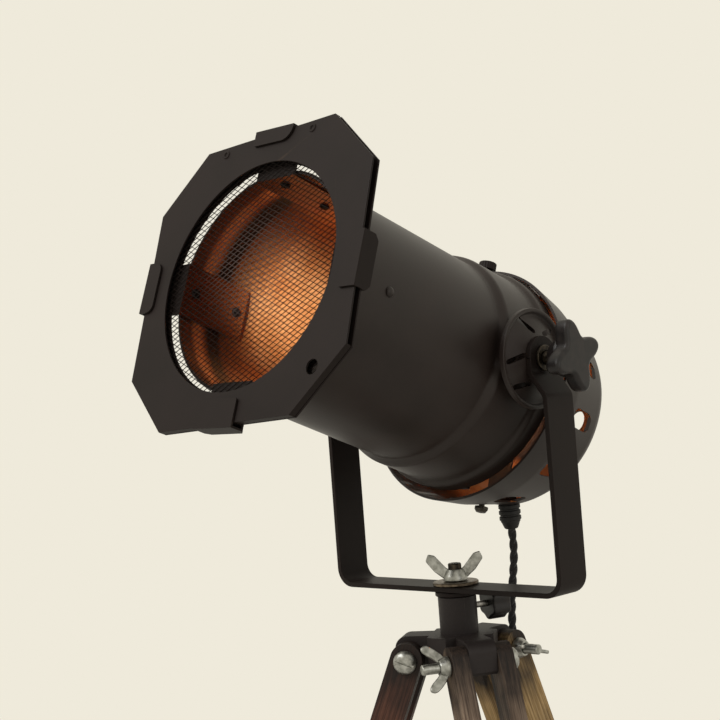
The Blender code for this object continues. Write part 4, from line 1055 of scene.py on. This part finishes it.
net_place = holder @ shift(z=frame_back + sheet + seat + 0.0004)
finished(net, net_place, "head", frame_enamel, "safety_mesh")

# Four clips: a tab in front of the frame, a side flange, a step behind it and a leg in the barrel
clip_half = 0.0150
tab_back = frame_front + seat
step_front = frame_back - seat
flange_inner = half * cos(frame_roll) + clip_half * sin(frame_roll) + seat
flange_outer = flange_inner + sheet
leg_out = sqrt((barrel_radius - sheet - seat) ** 2 - clip_half**2)
flange_back = tab_back + sheet - 0.0110
# where each tab ends, and the radii of its two corners
tab_shapes = {
    "right": (0.0735, 0.0008, 0.0008),
    "top": (0.0760, 0.0082, 0.0012),
    "left": (0.0740, 0.0050, 0.0050),
    "bottom": (0.0690, 0.0130, 0.0012),
}
screw_rings = [(0.0028, -0.0001), (0.0028, 0.0008), (0.0023, 0.0014), (0.0010, 0.0017)]
screw_stations = (0.1455, 0.1150)
leg_in = leg_out - sheet


def in_barrel(centre, normal):
    """True on a clip's leg."""
    return centre.z < step_front - 0.0002 and centre.x < leg_out + 0.0001


for number, (side, (reach, low_corner, high_corner)) in enumerate(tab_shapes.items()):
    tab_line = [(flange_outer, -clip_half)]
    tab_line += arc(low_corner, 8, (reach + low_corner, low_corner - clip_half), -PI / 2, -PI / 2)
    tab_line += arc(high_corner, 8, (reach + high_corner, clip_half - high_corner), PI, -PI / 2)
    tab_line += [(flange_outer, clip_half)]
    clip = plate("clip_" + side, [tab_line], sheet, shift(z=tab_back + sheet / 2))
    flange_line = [
        (tab_back + sheet / 2, -clip_half),
        (tab_back + sheet / 2, clip_half),
        (flange_back + 0.0026, clip_half),
        (flange_back, clip_half - 0.0030),
        (flange_back, 0.0030 - clip_half),
        (flange_back + 0.0026, -clip_half),
    ]
    flange = plate("flange", [flange_line], sheet)
    moved(flange, shift(x=flange_outer - sheet / 2) @ spin(y=-PI / 2))
    step_high = (flange_inner + sheet / 2, clip_half, step_front)
    step = block("step", (leg_in, -clip_half, step_front - sheet), step_high)
    leg_high = (leg_out, clip_half, step_front - sheet / 2)
    leg = block("leg", (leg_in, -clip_half, 0.1080), leg_high)
    combine(clip, [flange, step, leg], "UNION")
    soften(clip, 0.0005, 3, 60)
    # the legs inside the barrel take the copper lacquer with its painted shade
    two_finishes(clip, frame_enamel, leg_copper, in_barrel)
    place = optic @ spin(z=number * PI / 2)
    finished(clip, place, "head", None, "frame_clip_" + side)
    screws = []
    for station in screw_stations:
        screw = ringed("clip_screws_" + side, screw_rings, 24)
        combine(screw, block("slot", (-0.004, -0.0004, 0.0009), (0.004, 0.0004, 0.0030)))
        screws.append(moved(screw, shift(x=leg_in, z=station) @ spin(y=-PI / 2)))
    finished(joined(screws), place, "head", frame_enamel, None)

# Pivots: slotted discs, bolts, star knobs and washers, one set on each side
disc_rings = [(0.0044, 0.0745), (0.0110, 0.0745), (0.0122, 0.0743), (0.0240, 0.0698)]
disc_rings += [(0.0252, 0.0697), (0.0260, 0.0703), (0.0264, 0.0714), (0.0270, 0.0719)]
disc_rings += [(0.0280, 0.0720), (0.0286, 0.0717), (disc_radius, 0.0710), (disc_radius, 0.0692)]
disc_rings += [(0.0284, 0.0688), (0.0255, 0.0688), (0.0110, 0.0688), (0.0110, 0.0660)]
disc_rings += [(0.0044, 0.0660)]
# x, y, lean and length of the three slots in sight; each is cut again half a turn round
disc_slots = [(-0.0120, 0.0160, -19.0, 0.0140), (-0.0167, -0.0056, 38.5, 0.0130)]
disc_slots += [(-0.0070, -0.0180, 30.0, 0.0130)]
star_base = 0.0930
star_reaches = [0.0118 + 0.0092 * ((1 + cos(4 * a)) / 2) ** 1.25 for a in even_turns(96)]
lobes = polar(star_reaches, radians(38))
collar_rings = [(0.0080, star_base - 0.0070), (0.0084, star_base - 0.0066)]
collar_rings += [(0.0118, star_base - 0.0008), (0.0120, star_base + 0.0002)]
collar_rings += [(0.0112, star_base + 0.0030)]
arm_face = 0.0778 + seat
washer_rings = [(0.0044, arm_face), (0.0071, arm_face), (0.0074, arm_face + 0.0003)]
washer_rings += [(0.0074, arm_face + 0.0013), (0.0071, arm_face + 0.0016)]
washer_rings += [(0.0044, arm_face + 0.0016)]
for side, way in (("right", 1.0), ("left", -1.0)):
    outwards = spin(y=way * PI / 2)
    disc = ringed("disc_" + side, disc_rings, 96, tube=True)
    cuts = [
        moved(
            plate("disc_slot", [stadium(length, 0.0030)], 0.012),
            spin(z=half_turn) @ shift(x, y, 0.0695) @ spin(z=radians(lean) - PI / 2),
        )
        for x, y, lean, length in disc_slots
        for half_turn in (0.0, PI)
    ]
    combine(disc, joined(cuts))
    finished(disc, head @ outwards, "head", enamel, "pivot_disc_" + side)

    bolt = soften(ringed("bolt_" + side, [(0.0075, 0.0588), (0.0075, 0.0638)], 6), 0.0004)
    combine(bolt, rod("shaft", bolt_radius, 0.0620, star_base + 0.004, 48), "UNION")
    finished(bolt, head @ outwards, "head", blackened, "pivot_bolt_" + side)

    star = plate("knob_" + side, [lobes], 0.0095, shift(z=star_base + 0.00475))
    soften(star, 0.0026, 5, 60, clamp=False)
    combine(star, ringed("collar", collar_rings, 64), "UNION")
    drill(star, bolt_radius + running, star_base - 0.02, star_base + 0.0045)
    body = "knob_" + side
    hidden = "star_knob_" + side
    finished(star, head @ outwards, body, phenolic, hidden, smooth=40)

    washer = ringed("washer_" + side, washer_rings, 48, tube=True)
    place = stand @ shift(z=pivot_rise) @ outwards
    finished(washer, place, "yoke_arm", blackened, "pivot_washer_" + side)

# Yoke: one flat bar bent into a U, its ends joggled inwards and rounded
middle_low = -0.1308
yoke_hole = 0.0044
half_path = [(0.0763, 0.0172), (0.0763, -0.0056), (0.0769, -0.0076)]
half_path += [(0.0849, -0.0188), (0.0855, -0.0208)]
half_path += arc(0.0100, 13, (0.0755, middle_low + 0.0100), 0.0, -PI / 2)
bar_path = half_path + [(-x, z) for x, z in reversed(half_path)]
yoke = plate("yoke_bar", [strip(bar_path, 0.0030)], 0.0244, spin(x=PI / 2))
end_line = [(-0.014, -0.1423), (0.014, -0.1423), (0.014, 0.0020)]
end_line += arc(0.0122, 32, (0.0, 0.0020), 0.0, PI) + [(-0.014, 0.0020)]
ends = plate("end_shape", [end_line], 0.22, spin(x=PI / 2, z=PI / 2))
combine(yoke, ends, "INTERSECT")
drill(yoke, yoke_hole, -0.1, 0.1, shift(z=pivot_rise) @ spin(y=PI / 2))
drill(yoke, yoke_hole, -0.1423, -0.1223)
finished(soften(yoke, 0.0004, 3, 40), stand, "yoke_arm", frame_enamel, "yoke")

# Spigot with its flange and stud, and the broad washer over the yoke
spigot_rings = [(0.0070, -0.1760), (0.0080, -0.1750), (0.0080, -0.1352), (0.0124, -0.1352)]
spigot_rings += [(0.0128, -0.1348), (0.0128, -0.1330), (0.0124, -0.1326)]
spigot_rings += [(bolt_radius, -0.1326), (bolt_radius, -0.1169), (0.0035, -0.1164)]
spigot = ringed("spigot_stud", spigot_rings, 64)
combine(spigot, ringed("socket", [(0.0022, -0.1194), (0.0022, -0.1100)], 6))
two_finishes(spigot, frame_enamel, blackened, lambda c, n: c.z > -0.1325)
finished(spigot, stand, "mast", None, "spigot")
penny_rings = [(yoke_hole, -0.1290), (0.0132, -0.1290), (0.01365, -0.1286)]
penny_rings += [(0.01365, -0.1274), (0.0132, -0.1270), (yoke_hole, -0.1270)]
penny = ringed("penny_washer_disc", penny_rings, 64, tube=True)
finished(penny, stand, "mast", bronzed, "penny_washer")


def wing_nut(name, bore, scale, bend=0.0034):
    """A cast hub with two upswept wings, their corners rounded by bend, its foot at Z = 0."""
    hub_rings = [(0.0068, 0.0), (0.0072, 0.0005), (0.0072, 0.0023), (0.0068, 0.0031)]
    hub_rings += [(0.0056, 0.0060), (0.0050, 0.0068)]
    nut = ringed(name, [(r * scale, z * scale) for r, z in hub_rings], 48)
    wing_line = [(0.00208, 0.00102), (0.00648, 0.00102), (0.01238, 0.00594), (0.01720, 0.01238)]
    wing_line += [(0.01548, 0.01650), (0.01170, 0.01551), (0.00494, 0.00748), (0.00208, 0.00612)]
    for side in (1.0, -1.0):
        line = rounded([(side * x * scale, z * scale) for x, z in wing_line], bend * scale)
        wing = soften(plate("wing", [line], 0.0024 * scale), 0.0007 * scale, 3, 60)
        combine(nut, moved(wing, spin(x=PI / 2)), "UNION")
    return drill(nut, bore + running, -0.01, 0.03)


top_nut = wing_nut("wing_nut_yoke", bolt_radius, 1.0, 0.0010)
top_nut_place = stand @ shift(z=-0.1267) @ spin(z=radians(44))
finished(top_nut, top_nut_place, "top_nut", zinc, "wing_nut_top")

# Tripod head: socket tube, six-sided hub and three lugs in one casting
head_low = -0.1775
head_top = -0.1578
hub_line = []
hub_faces = [(a + k * PI / 3, (0.0170, 0.0215)[k]) for a in leg_azimuths for k in (0, 1)]
for (a0, d0), (a1, d1) in zip(hub_faces, hub_faces[1:] + hub_faces[:1]):
    span = cos(a0) * sin(a1) - sin(a0) * cos(a1)
    x = (d0 * sin(a1) - d1 * sin(a0)) / span
    hub_line.append((x, (d1 * cos(a0) - d0 * cos(a1)) / span))
casting = plate("head_casting", [hub_line], head_top - head_low)
moved(casting, shift(z=(head_top + head_low) / 2))
combine(casting, rod("socket_tube", 0.0115, head_top - 0.004, -0.1358, 64), "UNION")
lug_line = [(0.0102, head_low), (0.0360, head_low), (0.0380, head_low + 0.0020)]
lug_line += arc(0.0070, 12, (0.0310, head_top - 0.0070), 0.0, PI / 2) + [(0.0102, head_top)]
for azimuth in leg_azimuths:
    combine(casting, plate("lug", [lug_line], 0.0170, spin(x=PI / 2, z=azimuth)), "UNION")
soften(casting, 0.0007, 2, 40)
pin_hole = 0.0034
for azimuth in leg_azimuths:
    drill(casting, pin_hole, -0.02, 0.02, hinge_place(azimuth) @ spin(x=PI / 2, z=azimuth))
drill(casting, 0.0084, -0.19, -0.12, sides=64)
clamp_line = shift(z=-0.1430) @ spin(y=PI / 2, z=radians(70))
drill(casting, 0.0023, 0.004, 0.02, clamp_line)
finished(casting, stand, "tripod", cast_iron, "tripod_head")

# Clamp screw with its fluted knob
flutes = polar([0.0100 - 0.0014 * (1 - cos(6 * a)) / 2 for a in even_turns(72)])
clamp = plate("clamp_knob", [flutes], 0.0120, shift(z=0.0260))
soften(clamp, 0.0012, 4, 60)
combine(clamp, rod("thread", 0.0019, 0.0083, 0.0230), "UNION")
two_finishes(clamp, phenolic, steel, lambda c, n: c.z < 0.0199)
finished(clamp, stand @ clamp_line, "clamp", None, "clamp_screw")

# Legs: paired upper slats, a lower slat between them, a strap, and bolts with wing nuts
pin_radius = 0.0030
outside = 0.0188
bolt_rings = [(0.0026, 0.0350), (pin_radius, 0.0346), (pin_radius, -outside), (0.0070, -outside)]
bolt_rings += [(0.0070, -0.0200), (0.0064, -0.0216), (0.0050, -0.0229), (0.0028, -0.0233)]
slide_station = 0.3400
slat_half = 0.0096
slat_end = 0.3690
lower_half = 0.0095
leg_length = 0.6200
foot_slope = tan(splay) * lower_half
# how far each wing nut was left turned, in degrees
nut_turns = {"hinge": (80.0, 40.0, 60.0), "slide": (90.0, 110.0, 130.0)}
for number, (leg, wood, leg_name) in enumerate(zip(legs, woods, wood_looks), 1):
    upper_body = "leg_%d" % number
    slat_line = arc(slat_half, 24, (0.0, 0.0014), 0.0, PI)
    slat_line += [(-slat_half, -slat_end), (slat_half, -slat_end)]
    holes = [circle(pin_hole, 24), circle(pin_hole, 24, (0.0, -slide_station))]
    for letter, side in (("a", -1.0), ("b", 1.0)):
        slat = plate("slat_%d%s" % (number, letter), [slat_line, *holes], 0.00975)
        slat = soften(moved(slat, shift(y=side * 0.013625) @ spin(x=PI / 2)), 0.0008, 3, 60)
        finished(slat, leg, upper_body, wood, "upper_slat_%d%s" % (number, letter))
    lower_line = [
        (lower_half, -0.2430),
        (0.0065, -0.2400),
        (-0.0065, -0.2400),
        (-lower_half, -0.2430),
        (-lower_half, -leg_length + foot_slope),
        (lower_half, -leg_length - foot_slope),
    ]
    slot_line = [(x, z - 0.3610) for x, z in stadium(0.1980, 0.0068)]
    lower = plate("slat_%d_lower" % number, [lower_line, slot_line], 0.0170, spin(x=PI / 2))
    soften(lower, 0.0008, 3, 60)
    finished(lower, leg, "foot_%d" % number, wood, "lower_slat_%d" % number)

    band_lines = [
        rounded([(x, y), (-x, y), (-x, -y), (x, -y)], bend)
        for x, y, bend in ((0.0111, 0.0200, 0.0018), (0.0099, 0.0188, 0.0006))
    ]
    band = plate("band_%d" % number, band_lines, 0.0140, shift(z=-0.3600))
    soften(band, 0.00025)
    finished(band, leg, upper_body, steel, "strap_%d" % number)
    for kind, station in (("hinge", 0.0), ("slide", slide_station)):
        bolt = ringed("%s_pin_%d" % (kind, number), bolt_rings, 40)
        combine(bolt, block("slot", (-0.0100, -0.0007, -0.0240), (0.0100, 0.0007, -0.0220)))
        place = leg @ shift(z=-station) @ spin(x=PI / 2)
        finished(bolt, place, upper_body, zinc, "%s_bolt_%d" % (kind, number))
        turn = radians(nut_turns[kind][number - 1])
        place = leg @ shift(y=-outside, z=-station) @ spin(x=PI / 2, y=turn)
        nut = wing_nut("%s_wing_nut_%d" % (kind, number), pin_radius, 0.86)
        body = "%s_wing_%d" % (kind, number)
        finished(nut, place, body, zinc, "%s_nut_%d" % (kind, number))

# Solids that stay as they are, inside the lamp
for hidden, finish in (("bulb", glass), ("lampholder", ceramic), ("holder_bracket", strip_steel)):
    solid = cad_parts[hidden]
    solid.data.materials.clear()
    solid.data.materials.append(finish)

# Floor, backdrop and light
backdrop = "#efeadb"
ground, tree, shader = surface("pale_floor", "#e9e4d6", 0.9)
floor_shade = ramp(tree, object_noise(tree, 30.0), [(0.3, "#e6e1d3"), (0.7, "#ece7da")])
feed(tree, shader, Base_Color=floor_shade)
fresh()
bpy.ops.mesh.primitive_circle_add(vertices=128, radius=1.6, fill_type="NGON", location=(0, 0, 0))
floor_disc = named("floor_disc")
floor_disc.data.materials.append(ground)

world = bpy.data.worlds.new("studio")
world.use_nodes = True
bpy.context.scene.world = world
tree = world.node_tree
tree.nodes.clear()
path = node(tree, "ShaderNodeLightPath").outputs
seen = maths(tree, "MAXIMUM", path["Is Camera Ray"], path["Is Glossy Ray"])
seen = maths(tree, "MAXIMUM", seen, path["Is Transmission Ray"])
soft = node(tree, "ShaderNodeBackground", Color=colour("#ffffff"), Strength=0.40)
pale = node(tree, "ShaderNodeBackground", Color=colour(backdrop), Strength=1.0)
both = node(tree, "ShaderNodeMixShader", [(seen, 0), (soft.outputs[0], 1), (pale.outputs[0], 2)])
node(tree, "ShaderNodeOutputWorld", [(both.outputs[0], "Surface")])


def lamp(name, kind, place, target, power, **settings):
    """A lamp that faces a point."""
    light = bpy.data.lights.new(name, kind)
    light.energy = power
    for key, value in settings.items():
        setattr(light, key, value)
    aim = (target - place).to_track_quat("-Z", "Y").to_matrix().to_4x4()
    linked(name, light).matrix_world = Matrix.Translation(place) @ aim


lamp("key", "AREA", lift + back * 0.8 - right * 1.5 + up * 1.4, lift, 34.0, size=1.1)
lamp("fill", "AREA", lift + back * 1.5 + right * 1.3 + up * 0.6, lift, 5.0, size=1.3)
# a narrow beam through the mouth onto the lacquer inside
struck = optic @ Vector((-0.0590, 0.0140, 0.0530))
entry = optic @ Vector((0.0040, 0.0060, 0.1600))
narrow = {"spot_size": radians(5.0), "spot_blend": 1.0, "shadow_soft_size": 0.01}
lamp("beam", "SPOT", struck - (struck - entry).normalized(), struck, 210.0, **narrow)
bpy.context.scene.view_settings.view_transform = "Standard"
